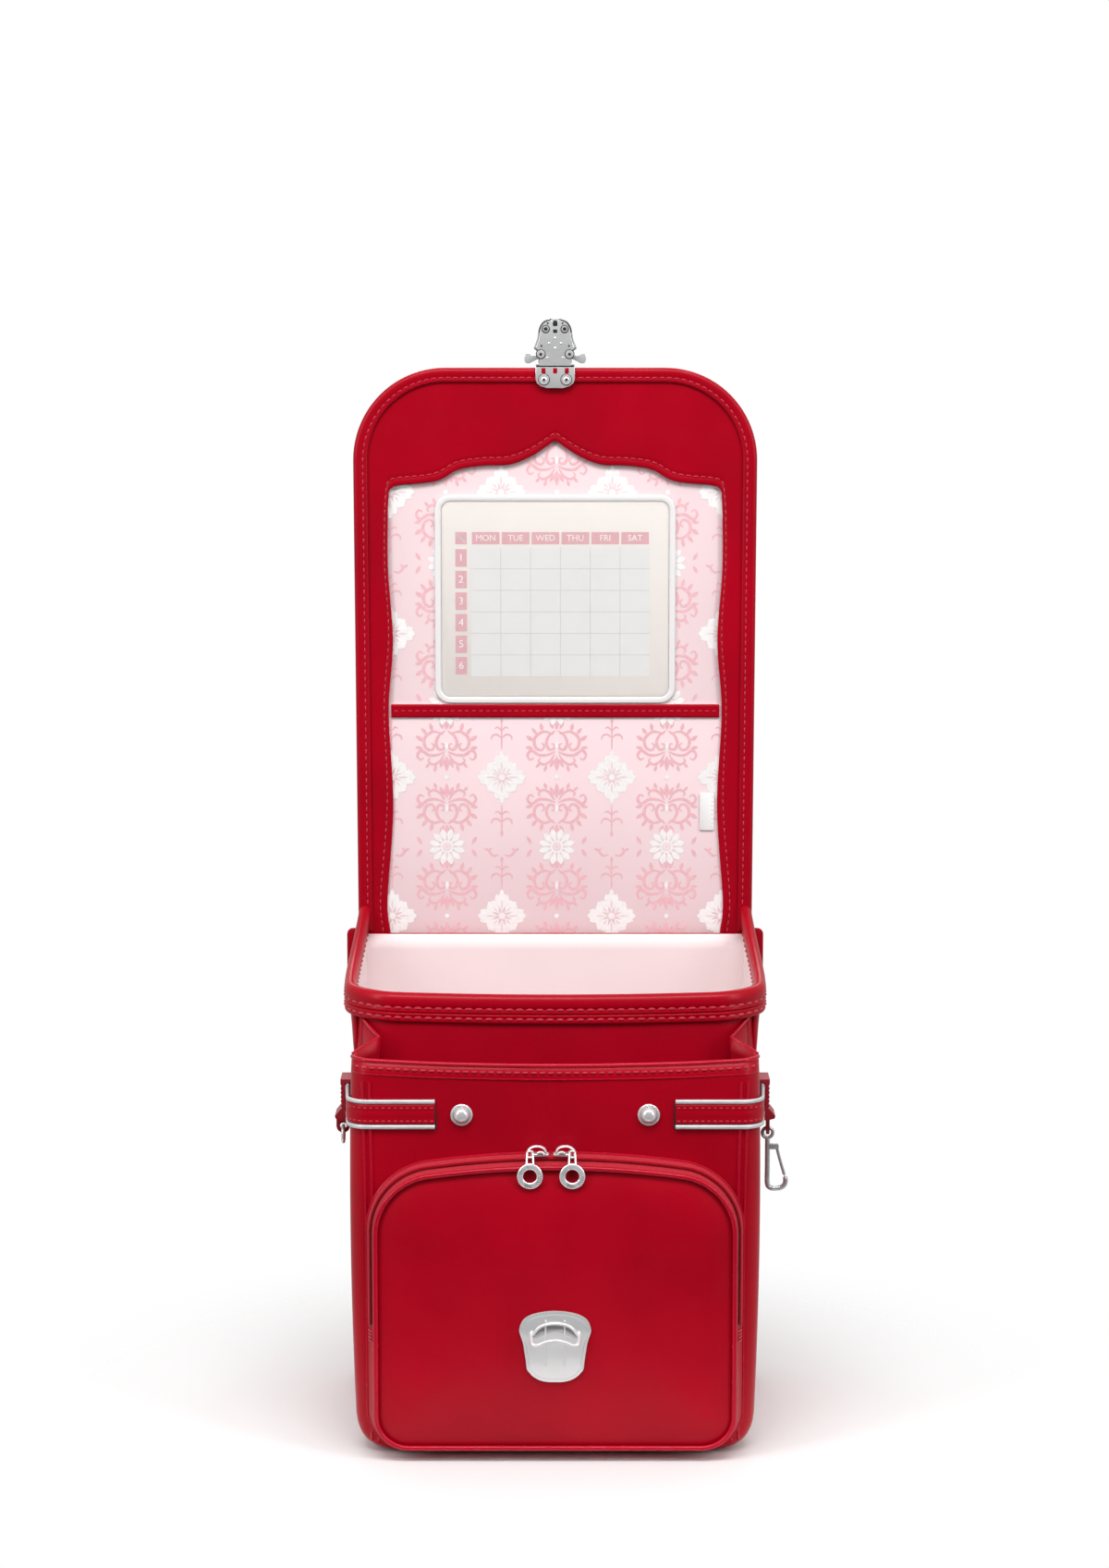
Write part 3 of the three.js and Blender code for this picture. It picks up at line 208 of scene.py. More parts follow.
# Materials
class Nodes:
    """A material's node tree with short calls for the nodes used here."""

    def __init__(self, name, color, roughness, metallic=0.0):
        self.material = bpy.data.materials.new(name)
        self.material.use_nodes = True
        self.tree = self.material.node_tree
        self.shader = self.tree.nodes["Principled BSDF"]
        self.place = self.tree.nodes.new("ShaderNodeTexCoord").outputs["Object"]
        self.set("Base Color", (*color, 1.0))
        self.set("Roughness", roughness)
        self.set("Metallic", metallic)
        self.bumps = None

    def set(self, socket, value):
        self.shader.inputs[socket].default_value = value

    def link(self, output, target):
        self.tree.links.new(output, target)

    def scaled(self, scale, tilt=(0, 0, 0)):
        node = self.tree.nodes.new("ShaderNodeMapping")
        node.inputs["Scale"].default_value = scale if isinstance(scale, tuple) else (scale,) * 3
        node.inputs["Rotation"].default_value = tilt
        self.link(self.place, node.inputs["Vector"])
        return node.outputs["Vector"]

    def noise(self, scale, detail=3.0):
        node = self.tree.nodes.new("ShaderNodeTexNoise")
        node.inputs["Scale"].default_value = 1.0
        node.inputs["Detail"].default_value = detail
        node.inputs["Roughness"].default_value = 0.55
        self.link(self.scaled(scale), node.inputs["Vector"])
        return node.outputs["Fac"]

    def cells(self, scale, feature="F1"):
        node = self.tree.nodes.new("ShaderNodeTexVoronoi")
        node.feature = feature
        node.inputs["Scale"].default_value = 1.0
        self.link(self.scaled(scale), node.inputs["Vector"])
        return node.outputs["Distance"]

    def wave(self, scale, tilt):
        node = self.tree.nodes.new("ShaderNodeTexWave")
        node.inputs["Scale"].default_value = 1.0
        self.link(self.scaled(scale, tilt), node.inputs["Vector"])
        return node.outputs["Fac"]

    def ramp(self, value, low, high, first, last):
        node = self.tree.nodes.new("ShaderNodeValToRGB")
        node.color_ramp.elements[0].position = first
        node.color_ramp.elements[1].position = last
        node.color_ramp.elements[0].color = (*low, 1.0)
        node.color_ramp.elements[1].color = (*high, 1.0)
        self.link(value, node.inputs["Fac"])
        return node.outputs["Color"]

    def spread(self, value, low, high):
        node = self.tree.nodes.new("ShaderNodeMapRange")
        node.inputs["To Min"].default_value = low
        node.inputs["To Max"].default_value = high
        self.link(value, node.inputs["Value"])
        return node.outputs["Result"]

    def bump(self, height, distance, strength=1.0):
        node = self.tree.nodes.new("ShaderNodeBump")
        node.inputs["Distance"].default_value = distance * MM
        node.inputs["Strength"].default_value = strength
        self.link(height, node.inputs["Height"])
        if self.bumps:
            self.link(self.bumps, node.inputs["Normal"])
        self.bumps = node.outputs["Normal"]
        self.link(self.bumps, self.shader.inputs["Normal"])

    def vary(self, low, high, scale):
        color = self.ramp(self.noise(scale, 2.0), low, high, 0.3, 0.7)
        self.link(color, self.shader.inputs["Base Color"])

    def vary_gloss(self, low, high, scale):
        self.link(self.spread(self.noise(scale), low, high), self.shader.inputs["Roughness"])


def shade(color, factor):
    return tuple(min(c * factor, 1.0) for c in color)


def leather(name, color, roughness=0.34, grain=0.035, coat=0.14):
    look = Nodes(name, color, roughness)
    look.vary(shade(color, 0.9), shade(color, 1.08), 14)
    look.vary_gloss(roughness - 0.05, roughness + 0.09, 60)
    look.bump(look.cells(1150, "SMOOTH_F1"), grain)
    look.bump(look.noise(520, 4), grain * 0.8)
    look.bump(look.noise(26, 2), 0.5, 0.35)
    look.set("Specular IOR Level", 0.14)
    look.set("Coat Weight", coat)
    look.set("Coat Roughness", 0.16)
    look.set("Coat IOR", 1.3)
    return look.material


def ribbed_tape(name, color):
    look = Nodes(name, color, 0.7)
    look.vary(shade(color, 0.8), shade(color, 1.1), 700)
    look.bump(look.wave((420, 420, 420), (0, 0, 0.785)), 0.09)
    look.bump(look.wave((420, 420, 420), (0.785, 0, 0)), 0.07)
    look.set("Sheen Weight", 0.08)
    return look.material


def thread(name, color):
    look = Nodes(name, color, 0.5)
    look.vary(shade(color, 0.85), shade(color, 1.12), 300)
    look.bump(look.wave((900, 900, 900), (0.5, 0.6, 0.7)), 0.08)
    look.set("Sheen Weight", 0.2)
    return look.material


def lining_cloth(name, color):
    look = Nodes(name, color, 0.5)
    look.vary(shade(color, 0.97), shade(color, 1.03), 9)
    look.bump(look.cells(1900, "SMOOTH_F1"), 0.02)
    look.bump(look.noise(12, 2), 0.5, 0.25)
    look.set("Specular IOR Level", 0.3)
    return look.material


def metal(name, color, roughness=0.2):
    look = Nodes(name, color, roughness, 0.5)
    look.set("Coat Weight", 0.5)
    look.set("Coat Roughness", 0.08)
    look.vary_gloss(roughness * 0.7, roughness * 1.5, 240)
    look.bump(look.noise((60, 60, 2600), 2), 0.008)
    look.bump(look.noise(90, 2), 0.04, 0.3)
    return look.material


def moulded(name, color, roughness=0.45):
    look = Nodes(name, color, roughness)
    look.vary(shade(color, 0.92), shade(color, 1.05), 60)
    look.bump(look.cells(1400, "SMOOTH_F1"), 0.03)
    look.set("Coat Weight", 0.2)
    look.set("Coat Roughness", 0.25)
    return look.material


def reflective_tape(name, color):
    look = Nodes(name, color, 0.38)
    look.vary(shade(color, 0.9), shade(color, 1.08), 120)
    look.bump(look.cells(2400), 0.05)
    look.set("Metallic", 0.25)
    look.set("Coat Weight", 0.4)
    look.set("Coat Roughness", 0.15)
    return look.material


def vinyl(name, color, alpha):
    look = Nodes(name, color, 0.22)
    look.vary(shade(color, 0.98), shade(color, 1.02), 20)
    look.bump(look.noise(30, 2), 0.25, 0.5)
    look.set("Alpha", alpha)
    look.set("Coat Weight", 0.3)
    return look.material


def paper(name, color):
    look = Nodes(name, color, 0.7)
    look.vary(shade(color, 0.985), shade(color, 1.01), 200)
    look.bump(look.noise(1500, 3), 0.015)
    look.set("Specular IOR Level", 0.25)
    return look.material


def ink(name, color):
    look = Nodes(name, color, 0.5)
    look.vary(shade(color, 0.95), shade(color, 1.05), 400)
    look.bump(look.noise(1800, 2), 0.01)
    look.set("Specular IOR Level", 0.25)
    return look.material


def floor_paint():
    look = Nodes("pale_floor", (0.8, 0.8, 0.8), 0.9)
    look.vary((0.79, 0.79, 0.79), (0.81, 0.81, 0.81), 2)
    look.set("Specular IOR Level", 0.0)
    length = look.tree.nodes.new("ShaderNodeVectorMath")
    length.operation = "LENGTH"
    look.link(look.place, length.inputs[0])
    fade = look.tree.nodes.new("ShaderNodeMapRange")
    fade.interpolation_type = "SMOOTHSTEP"
    fade.inputs["From Min"].default_value = 0.15
    fade.inputs["From Max"].default_value = 0.40
    fade.inputs["To Min"].default_value = 1.0
    fade.inputs["To Max"].default_value = 0.0
    look.link(length.outputs["Value"], fade.inputs["Value"])
    look.link(fade.outputs["Result"], look.shader.inputs["Alpha"])
    return look.material


RED = (0.375, 0.0, 0.010)
RED_LEATHER = leather("red_leather", RED)
# A darker copy of the red leather: painted shade for the tucked bellows.
SHADED_LEATHER = leather("shaded_red_leather", (0.35, 0.0, 0.010), 0.4)
RED_PIPING = leather("red_piping", (0.43, 0.001, 0.017), 0.24, 0.015, 0.6)
INSIDE_LEATHER = leather("inside_leather", (0.38, 0.0, 0.011), 0.42)
PAD_LEATHER = leather("pad_leather", (0.72, 0.5, 0.47), 0.5, 0.05, 0.1)
# The zip tape and coil are coloured lighter than the leather: painted light that lifts the shaded zip
# channel.
LIT_ZIP_TAPE = ribbed_tape("zip_tape_weave_painted_light", (0.46, 0.002, 0.018))
LIT_ZIP_COIL = moulded("zip_coil_nylon_painted_light", (0.43, 0.001, 0.014), 0.35)
RED_THREAD = thread("red_thread", (0.56, 0.012, 0.038))
PALE_PINK = lining_cloth("pale_pink_lining", (0.88, 0.74, 0.745))
PRINT_GROUND = lining_cloth("print_ground", (0.86, 0.67, 0.695))
PRINT_PINK = ink("print_deep_pink", (0.84, 0.49, 0.53))
PRINT_WHITE = ink("print_white", (0.90, 0.88, 0.87))
SILVER = metal("bright_metal", (0.78, 0.785, 0.79))
HOOK_METAL = metal("hook_metal", (0.52, 0.53, 0.54), 0.16)
# A darker copy of the metal, used as painted shade in grooves, hatching and round the lock face.
SHADED_SILVER = metal("shaded_metal", (0.30, 0.31, 0.32), 0.3)
# A near-black stand-in for holes, slots and grooves: painted shade.
HOLE_SHADE = moulded("painted_hole_shade", (0.012, 0.010, 0.011), 0.6)
RED_MOULD = moulded("red_moulding", (0.3, 0.0, 0.012))
REFLECTIVE = reflective_tape("reflective_piping", (0.6, 0.6, 0.62))
VINYL_WINDOW = vinyl("vinyl_window", (0.86, 0.83, 0.80), 0.12)
VINYL_RIM = vinyl("vinyl_rim", (0.9, 0.895, 0.89), 0.9)
CARD_PAPER = paper("card_paper", (0.80, 0.80, 0.80))
CARD_MARGIN = paper("card_margin", (0.83, 0.785, 0.75))
CARD_PINK = ink("card_pink", (0.74, 0.36, 0.41))
CARD_WORDS = ink("card_words", (0.92, 0.92, 0.92))
CARD_LINE = ink("card_line", (0.57, 0.57, 0.58))
TAG_CLOTH = paper("tag_cloth", (0.88, 0.87, 0.87))


# Meshes
def make_object(name, points, faces, material, nodes=(), body="bag", slot=None, sharp=40):
    mesh = bpy.data.meshes.new(name)
    mesh.from_pydata([Vector(p) * MM for p in points], [], faces)
    mesh.update()
    work = bmesh.new()
    work.from_mesh(mesh)
    bmesh.ops.recalc_face_normals(work, faces=work.faces)
    work.to_mesh(mesh)
    work.free()
    mesh.shade_smooth()
    mesh.set_sharp_from_angle(angle=math.radians(sharp))
    mesh.materials.append(material)
    piece = bpy.data.objects.new(name, mesh)
    bpy.context.scene.collection.objects.link(piece)
    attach(piece, body)
    if nodes:
        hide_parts(*nodes)
    return piece


def loft_faces(rows, around=False, along=False, caps=False):
    count = len(rows[0])
    faces = []
    for r in range(len(rows) if along else len(rows) - 1):
        nxt = (r + 1) % len(rows)
        for i in range(count if around else count - 1):
            j = (i + 1) % count
            faces.append((r * count + i, r * count + j, nxt * count + j, nxt * count + i))
    if caps:
        faces.append(tuple(range(count))[::-1])
        faces.append(tuple((len(rows) - 1) * count + i for i in range(count)))
    return faces


def thicken(piece, thickness):
    """Turn an open shell's faces away from its middle and thicken it inward."""
    mesh = piece.data
    middle = sum((v.co for v in mesh.vertices), Vector()) / len(mesh.vertices)
    lean = sum((face.center - middle).dot(face.normal) * face.area for face in mesh.polygons)
    if lean < 0:
        mesh.flip_normals()
    solidify = piece.modifiers.new("thickness", "SOLIDIFY")
    solidify.thickness = thickness * MM
    solidify.offset = -1.0


def loft(name, rows, material, around=False, along=False, caps=False, thick=0.0, **facts):
    points = [p for row in rows for p in row]
    piece = make_object(name, points, loft_faces(rows, around, along, caps), material, **facts)
    if thick:
        thicken(piece, thick)
    return piece


def solid(name, rows, material, **facts):
    """A closed loft through rings, capped at both ends."""
    return loft(name, rows, material, around=True, caps=True, **facts)


STITCH_LIFT = (-0.35, 0.1, 0.28, 0.1, -0.35)
STITCH_SIZE = (0.6, 0.95, 1.0, 0.95, 0.6)
FORWARD = (0, -1, 0)
BACKWARD = (0, 1, 0)


class Heap:
    """Many small meshes gathered in one piece."""

    def __init__(self):
        self.points = []
        self.faces = []

    def add(self, points, faces):
        start = len(self.points)
        self.points.extend(points)
        self.faces.extend(tuple(start + i for i in face) for face in faces)

    def rows(self, rows, around=False, along=False, caps=False):
        self.add([p for row in rows for p in row], loft_faces(rows, around, along, caps))

    def tube(self, points, radius, sides=8):
        self.rows(tube_rows(points, radius, sides), around=True, caps=True)

    def turned(self, profile, x, y, z, sides):
        self.rows(turned_rows(profile, x, y, z, sides), around=True, caps=True)

    def slab(self, outline, front, back, edge):
        self.rows(slab_rows(outline, front, back, edge), around=True, caps=True)

    def stitch(self, points, outward, pitch, length, radius):
        """Stitches along a line; outward is the surface's normal, or gives it at a point and a share."""
        count = max(int(length_of(points) / pitch), 1)
        fine = resample(points, count * 6 + 1)
        share = length / pitch
        for k in range(count):
            row = []
            for s in range(5):
                pos = (k + (1 - share) / 2) * 6 + share * 6 * s / 4
                i = min(int(pos), len(fine) - 2)
                row.append(fine[i].lerp(fine[i + 1], pos - i))
            normal = Vector(outward(row[2], k / count) if callable(outward) else outward).normalized()
            across = (row[-1] - row[0]).normalized().cross(normal).normalized()
            rings = []
            for p, lift, size in zip(row, STITCH_LIFT, STITCH_SIZE):
                centre, r = p + normal * lift, radius * size
                rings.append([centre + across * r * math.cos(a) + normal * r * math.sin(a)
                              for a in turn(6)])
            self.rows(rings, around=True, caps=True)

    def build(self, name, material, **facts):
        return make_object(name, self.points, self.faces, material, **facts)


def lerp(a, b, t):
    return a + (b - a) * t


def arc(cx, cy, radius, start, end, steps):
    angles = [math.radians(lerp(start, end, i / steps)) for i in range(steps + 1)]
    return [(cx + radius * math.cos(a), cy + radius * math.sin(a)) for a in angles]


def turn(sides):
    """Angles of a full turn in equal steps."""
    return [2 * math.pi * k / sides for k in range(sides)]


def rounded_rectangle(x0, x1, z0, z1, radius, steps=6):
    left, right, low, high = x0 + radius, x1 - radius, z0 + radius, z1 - radius
    outline = []
    for x, z, start in ((left, low, 180), (right, low, 270), (right, high, 0), (left, high, 90)):
        outline += arc(x, z, radius, start, start + 90, steps)
    return outline


def inset_outline(outline, amount):
    """The closed outline moved inward; it runs counter-clockwise."""
    moved = []
    count = len(outline)
    for i, (u, v) in enumerate(outline):
        a, b = outline[i - 1], outline[(i + 1) % count]
        along = Vector((b[0] - a[0], b[1] - a[1]))
        if along.length < 1e-9:
            moved.append((u, v))
            continue
        along.normalize()
        moved.append((u - along.y * amount, v + along.x * amount))
    return moved


def area_of(outline):
    return sum(a[0] * b[1] - b[0] * a[1] for a, b in zip(outline, outline[1:] + outline[:1])) / 2


def slab_rows(outline, front, back, edge):
    """Rings of a slab with rounded edges; the outline lies in XZ."""
    ring = outline if area_of(outline) > 0 else outline[::-1]
    profile = [(edge, back), (edge * 0.3, back - edge * 0.3), (0.0, back - edge), (0.0, front + edge),
               (edge * 0.3, front + edge * 0.3), (edge, front)]
    return [[(u, y, v) for u, v in inset_outline(ring, grow)] for grow, y in profile]


def slab(name, outline, front, back, edge, material, **facts):
    return solid(name, slab_rows(outline, front, back, edge), material, **facts)


def resample(points, count, closed=False):
    line = [Vector(p) for p in points]
    if closed:
        line.append(line[0])
    marks = [0.0]
    for a, b in zip(line, line[1:]):
        marks.append(marks[-1] + (b - a).length)
    total = marks[-1]
    steps = count if closed else count - 1
    out, k = [], 0
    for i in range(count):
        want = total * i / steps
        while k < len(marks) - 2 and marks[k + 1] < want:
            k += 1
        span = marks[k + 1] - marks[k]
        share = (want - marks[k]) / span if span > 1e-9 else 0.0
        out.append(line[k].lerp(line[k + 1], min(max(share, 0.0), 1.0)))
    return out


def length_of(points):
    return sum((Vector(b) - Vector(a)).length for a, b in zip(points, points[1:]))


def curve_through(points, count):
    """A Catmull-Rom curve through the points, evenly sampled."""
    p = [Vector(q) for q in points]
    p = [p[0] * 2 - p[1]] + p + [p[-1] * 2 - p[-2]]
    fine = []
    for i in range(1, len(p) - 2):
        a, b, c, d = p[i - 1:i + 3]
        for s in range(12):
            t = s / 12
            square = (2 * a - 5 * b + 4 * c - d) * t ** 2
            cube = (3 * b - a - 3 * c + d) * t ** 3
            fine.append(0.5 * (2 * b + (c - a) * t + square + cube))
    fine.append(p[-2])
    return resample(fine, count)


def flat_curve(points, count):
    """The smooth curve through points of the XZ plane."""
    return [(p.x, p.z) for p in curve_through([(x, 0, z) for x, z in points], count)]


def flat_resample(points, count):
    return [(p.x, p.z) for p in resample([(x, 0, z) for x, z in points], count)]


def tangents(line, closed=False):
    count = len(line)
    out = []
    for i in range(count):
        a = line[i - 1] if closed or i > 0 else line[i]
        b = line[(i + 1) % count] if closed or i < count - 1 else line[i]
        out.append((Vector(b) - Vector(a)).normalized())
    return out


def tube_rows(points, radius, sides, closed=False):
    line = [Vector(p) for p in points]
    along = tangents(line, closed)
    side = along[0].orthogonal().normalized()
    rows = []
    for i, p in enumerate(line):
        side = (side - along[i] * side.dot(along[i])).normalized()
        other = along[i].cross(side)
        grow = radius(i / (len(line) - 1)) if callable(radius) else radius
        rows.append([p + side * grow * math.cos(a) + other * grow * math.sin(a) for a in turn(sides)])
    return rows


def tube(name, points, radius, material, sides=10, closed=False, **facts):
    rows = tube_rows(points, radius, sides, closed)
    return loft(name, rows, material, around=True, along=closed, caps=not closed, **facts)


def round_end(t, share):
    """A factor that rounds off a tube's two ends."""
    near = min(t, 1 - t) / share
    return math.sqrt(max(1 - (1 - min(near, 1)) ** 2, 0.05))


def turned_rows(profile, x, y, z, sides):
    """Rings about an axis along Y; heights count forward, towards minus Y."""
    return [[(x + r * math.cos(a), y - h, z + r * math.sin(a)) for a in turn(sides)] for r, h in profile]


def ring_about(x, y, z, radius):
    """Points of a circle that faces the front."""
    return [(x + radius * math.cos(a), y, z + radius * math.sin(a)) for a in turn(40)]


def ripple(x, z, size):
    """A small lasting unevenness of a stretched skin."""
    coarse = math.sin(x * 0.041 + 1.3) * math.sin(z * 0.033 + 0.4)
    return size * (coarse + 0.5 * math.sin(x * 0.083 + z * 0.061 + 2.0))


# Body outlines
def half_at(size, z):
    """Half the width at a height; the filled sides swell between hem and base."""
    swell = size["swell"] * max(math.sin(math.pi * min((z + 22) / (SECOND_TOP + 30), 1.0)), 0.0) ** 0.7
    if z >= BASE_CORNER:
        share = min((z - BASE_CORNER) / (size["full"] - BASE_CORNER), 1.0)
        return lerp(size["base"], size["top"], share) + swell
    power = size["square"]
    share = (1 - (1 - z / BASE_CORNER) ** power) ** (1 / power)
    return size["base"] + swell - BASE_CORNER * (1 - share)


def front_at(size, z):
    foot = size["foot"]
    if z >= foot:
        return size["front"]
    return size["front"] + foot - math.sqrt(foot ** 2 - (foot - z) ** 2)


def rim_level(y):
    share = max((y - MAIN_FRONT) / (MAIN_BACK - MAIN_FRONT), 0.0)
    return RIM_HEIGHT + (HORN_HEIGHT - RIM_HEIGHT) * share ** HORN_POWER


def side_bow(y, z):
    """The main body's side walls bow out towards their free edges."""
    share = min(max((y - MAIN_FRONT) / (MAIN_BACK - MAIN_FRONT), 0.0), 1.0)
    return SIDE_BOW * math.sin(math.pi * share ** 0.7) * min(max((z - 226) / 50, 0.0), 1.0)


def corner_at(size, z):
    """The plan corner, which opens out towards the main body's rim."""
    if size is SECOND:
        return size["corner"]
    return lerp(size["corner"], RIM_CORNER, min(max((z - 215) / 40, 0.0), 1.0))


def plan_row(size, z, bow=0.0):
    half = half_at(size, z)
    front = front_at(size, z)
    corner = corner_at(size, z)
    left = arc(-half + corner, front + corner, corner, 180, 270, 9)
    right = arc(half - corner, front + corner, corner, 270, 360, 9)
    inner = [(lerp(left[-1][0], right[0][0], i / 30), front) for i in range(1, 30)]
    row = []
    for x, y in left + inner + right:
        lift = bow * (1 - (x / half) ** 2)
        row.append((x, y - lift + (ripple(x, z, 0.25) if abs(x) < half - corner else 0.0), z))
    return row


def wall_levels(top):
    low = [BASE_CORNER * (1 - math.cos(math.pi / 2 * i / 9)) for i in range(10)]
    return low + [lerp(BASE_CORNER, top, i / 22) for i in range(1, 23)]


def make_main_body():
    split = MAIN_FRONT + MAIN["corner"]
    levels = wall_levels(RIM_HEIGHT - 4)
    rows = [plan_row(MAIN, z) for z in levels]
    under = [(x, max(split, y + CLEAR), 0.0) for x, y, _ in rows[0]]
    loft("front_wall_leather", [under] + rows, INSIDE_LEATHER, nodes=["main_front_wall"], thick=1.6)
    depth_steps = 14
    sheets = []
    for k in range(depth_steps + 1):
        y = lerp(split + CLEAR, MAIN_BACK, k / depth_steps)
        top = rim_level(y) - 3
        heights = wall_levels(top)
        pinch = 1.2 * math.sin(math.pi * k / depth_steps)
        right = []
        for z in heights:
            spare = max(MAIN_FRONT + corner_at(MAIN, z) - y, 0.0)
            corner = corner_at(MAIN, z)
            half = half_at(MAIN, z) - corner + math.sqrt(corner ** 2 - spare ** 2)
            wave = pinch * math.sin(math.pi * min(z / top, 1)) if z < 226 else 0.0
            right.append((half - wave + side_bow(y, z), y, z))
        left = [(-x, y, z) for x, y, z in right][::-1]
        sheets.append(left + [(x, y, 0.0) for x in (-60, -20, 20, 60)] + right)
    loft("gusset_leather", sheets, RED_LEATHER, nodes=["main_gusset"], thick=1.6)


def rim_path():
    split = MAIN_FRONT + RIM_CORNER
    reach = RIM_HALF - RIM_CORNER
    right = []
    for i in range(20):
        y = lerp(MAIN_BACK, split, i / 20)
        right.append((RIM_HALF + side_bow(y, HORN_HEIGHT), y, 1.0, 0.0))
    for u, v in arc(0, 0, 1, 0, -90, 16):
        y = split + RIM_CORNER * v
        right.append((reach + RIM_CORNER * u + side_bow(y, HORN_HEIGHT) * max(u, 0.0), y, u, v))
    right += [(lerp(reach, 0, i / 16), MAIN_FRONT, 0.0, -1.0) for i in range(1, 17)]
    return right + [(-x, y, -u, v) for x, y, u, v in right[:-1]][::-1]


def rim_drop(x, y):
    """The front of the rim hangs a little between its corners."""
    ahead = max(1 - (y - MAIN_FRONT) / 16, 0)
    return RIM_SAG * ahead * max(1 - (x / RIM_HALF) ** 2, 0.0)


RIM_SECTION = [
    (0.6, -16.0), (1.5, -15.9), (2.0, -15.2), (2.05, -14.2), (1.6, -13.0), (2.1, -11.9), (2.1, -10.9),
    (1.45, -10.2), (2.15, -9.4), (2.15, -8.2), (1.6, -7.0), (2.2, -5.8), (2.35, -3.6), (2.1, -1.6),
    (1.3, 0.2), (0.0, 1.4), (-1.7, 1.9), (-3.4, 1.5), (-4.7, 0.4), (-5.4, -1.4), (-5.6, -3.6),
    (-5.5, -5.6), (-5.0, -6.8), (-4.2, -6.9), (-3.8, -6.2), (-3.8, -1.0), (-1.7, 0.3), (0.3, -1.0),
    (0.35, -8.0),
]


def rim_point(place, u, w):
    x, y, nx, ny = place
    return (x + u * nx, y + u * ny, rim_level(y) - rim_drop(x, y) + w)


def make_rim():
    path = rim_path()
    rows = [[rim_point(p, u, w) for u, w in RIM_SECTION] for p in path]
    ends = []
    for row in (rows[0], rows[-1]):
        centre = centre_of(row)
        ends.append([(lerp(p[0], centre[0], 0.3), p[1] + 1.4, lerp(p[2], centre[2], 0.12)) for p in row])
    rows = [ends[0]] + rows + [ends[1]]
    solid("rim_binding_leather", rows, RED_LEATHER, nodes=["rim_binding"])
    stitches = Heap()
    for level in (-7.0, -13.0):
        line = [rim_point(p, 1.75, level) for p in path[3:-3]]
        stitches.stitch(line, rim_out, 6.1, 4.3, 0.78)
    inner = [rim_point(p, -5.55, -5.2) for p in path[3:-3]]
    stitches.stitch(inner, lambda p, t: -Vector(rim_out(p, t)), 6.1, 4.1, 0.5)
    stitches.build("rim_stitches", RED_THREAD)


def centre_of(row):
    count = len(row)
    return (sum(p[0] for p in row) / count, sum(p[1] for p in row) / count, sum(p[2] for p in row) / count)


def normal_out(p, half, corner, front):
    """The outward direction of a U-shaped plan at a point."""
    x, y = p[0], p[1]
    cx = half - corner
    cy = front + corner
    if y >= cy:
        return (math.copysign(1.0, x), 0.0, 0.0)
    if abs(x) <= cx:
        return (0.0, -1.0, 0.0)
    return Vector((x - math.copysign(cx, x), y - cy, 0.0)).normalized()


def rim_out(p, _):
    return normal_out(p, RIM_HALF, RIM_CORNER, MAIN_FRONT)


def second_out(p, _):
    return normal_out(p, SECOND["top"], SECOND["corner"], SECOND_FRONT)


def make_main_lining():
    inset = 2.5
    size = {**MAIN, "top": RIM_HALF - inset, "base": BASE_HALF - inset, "front": MAIN_FRONT + inset,
            "corner": 11.5, "foot": 1.0}
    rows = []
    steps = 26
    for k in range(steps + 1):
        rise = (k / steps) ** 0.9
        row = []
        base_z = lerp(LINING_FLOOR, RIM_HEIGHT, rise)
        half = half_at(size, base_z)
        corner = corner_at(MAIN, base_z) - inset
        plan = []
        for i in range(13):
            y = lerp(MAIN_BACK - 0.4, size["front"] + corner, i / 12)
            plan.append((half + side_bow(y, base_z), y))
        plan += [(x + side_bow(y, base_z) * max(1 + (y - size["front"] - corner) / corner, 0.0), y)
                 for x, y in arc(half - corner, size["front"] + corner, corner, 0, -90, 8)[1:]]
        plan += [(lerp(half - corner, 0, i / 8), size["front"]) for i in range(1, 9)]
        plan = plan + [(-x, y) for x, y in plan[:-1]][::-1]
        back = [(lerp(-half + 0.5, half - 0.5, i / 16), MAIN_BACK - 1.3) for i in range(17)]
        for n, (x, y) in enumerate(plan + back):
            top = rim_level(y) - 1.2 - rim_drop(x, y) if n < len(plan) else BOARD_HEIGHT
            row.append((x, y, lerp(LINING_FLOOR, top, rise)))
        rows.append(row)
    floor = [(0.0, 16.0, LINING_FLOOR)] * len(rows[0])
    lining = loft("lining_sheet", [floor] + rows, PALE_PINK, around=True, nodes=["main_lining"], thick=0.7)


# Second compartment
def second_point(x, z, out):
    """A point on the front skin of the second compartment."""
    half = half_at(SECOND, z)
    corner = SECOND["corner"]
    front = front_at(SECOND, z)
    bow = second_bow(z) * (1 - (x / half) ** 2)
    reach = abs(x) - (half - corner)
    if reach <= 0:
        return (x, front - bow - out, z)
    reach = min(reach, corner)
    y = front + corner - math.sqrt(max(corner ** 2 - reach ** 2, 0.0))
    return (x + math.copysign(out * reach / corner, x), y - bow - out * (1 - reach / corner), z)


def second_bow(z):
    return 1.8 * max((z - 205) / 40, 0.0)


def hem_sag(x, z):
    return HEM_SAG * max(1 - (x / SECOND["top"]) ** 2, 0.0) * max((z - 215) / 30, 0.0)


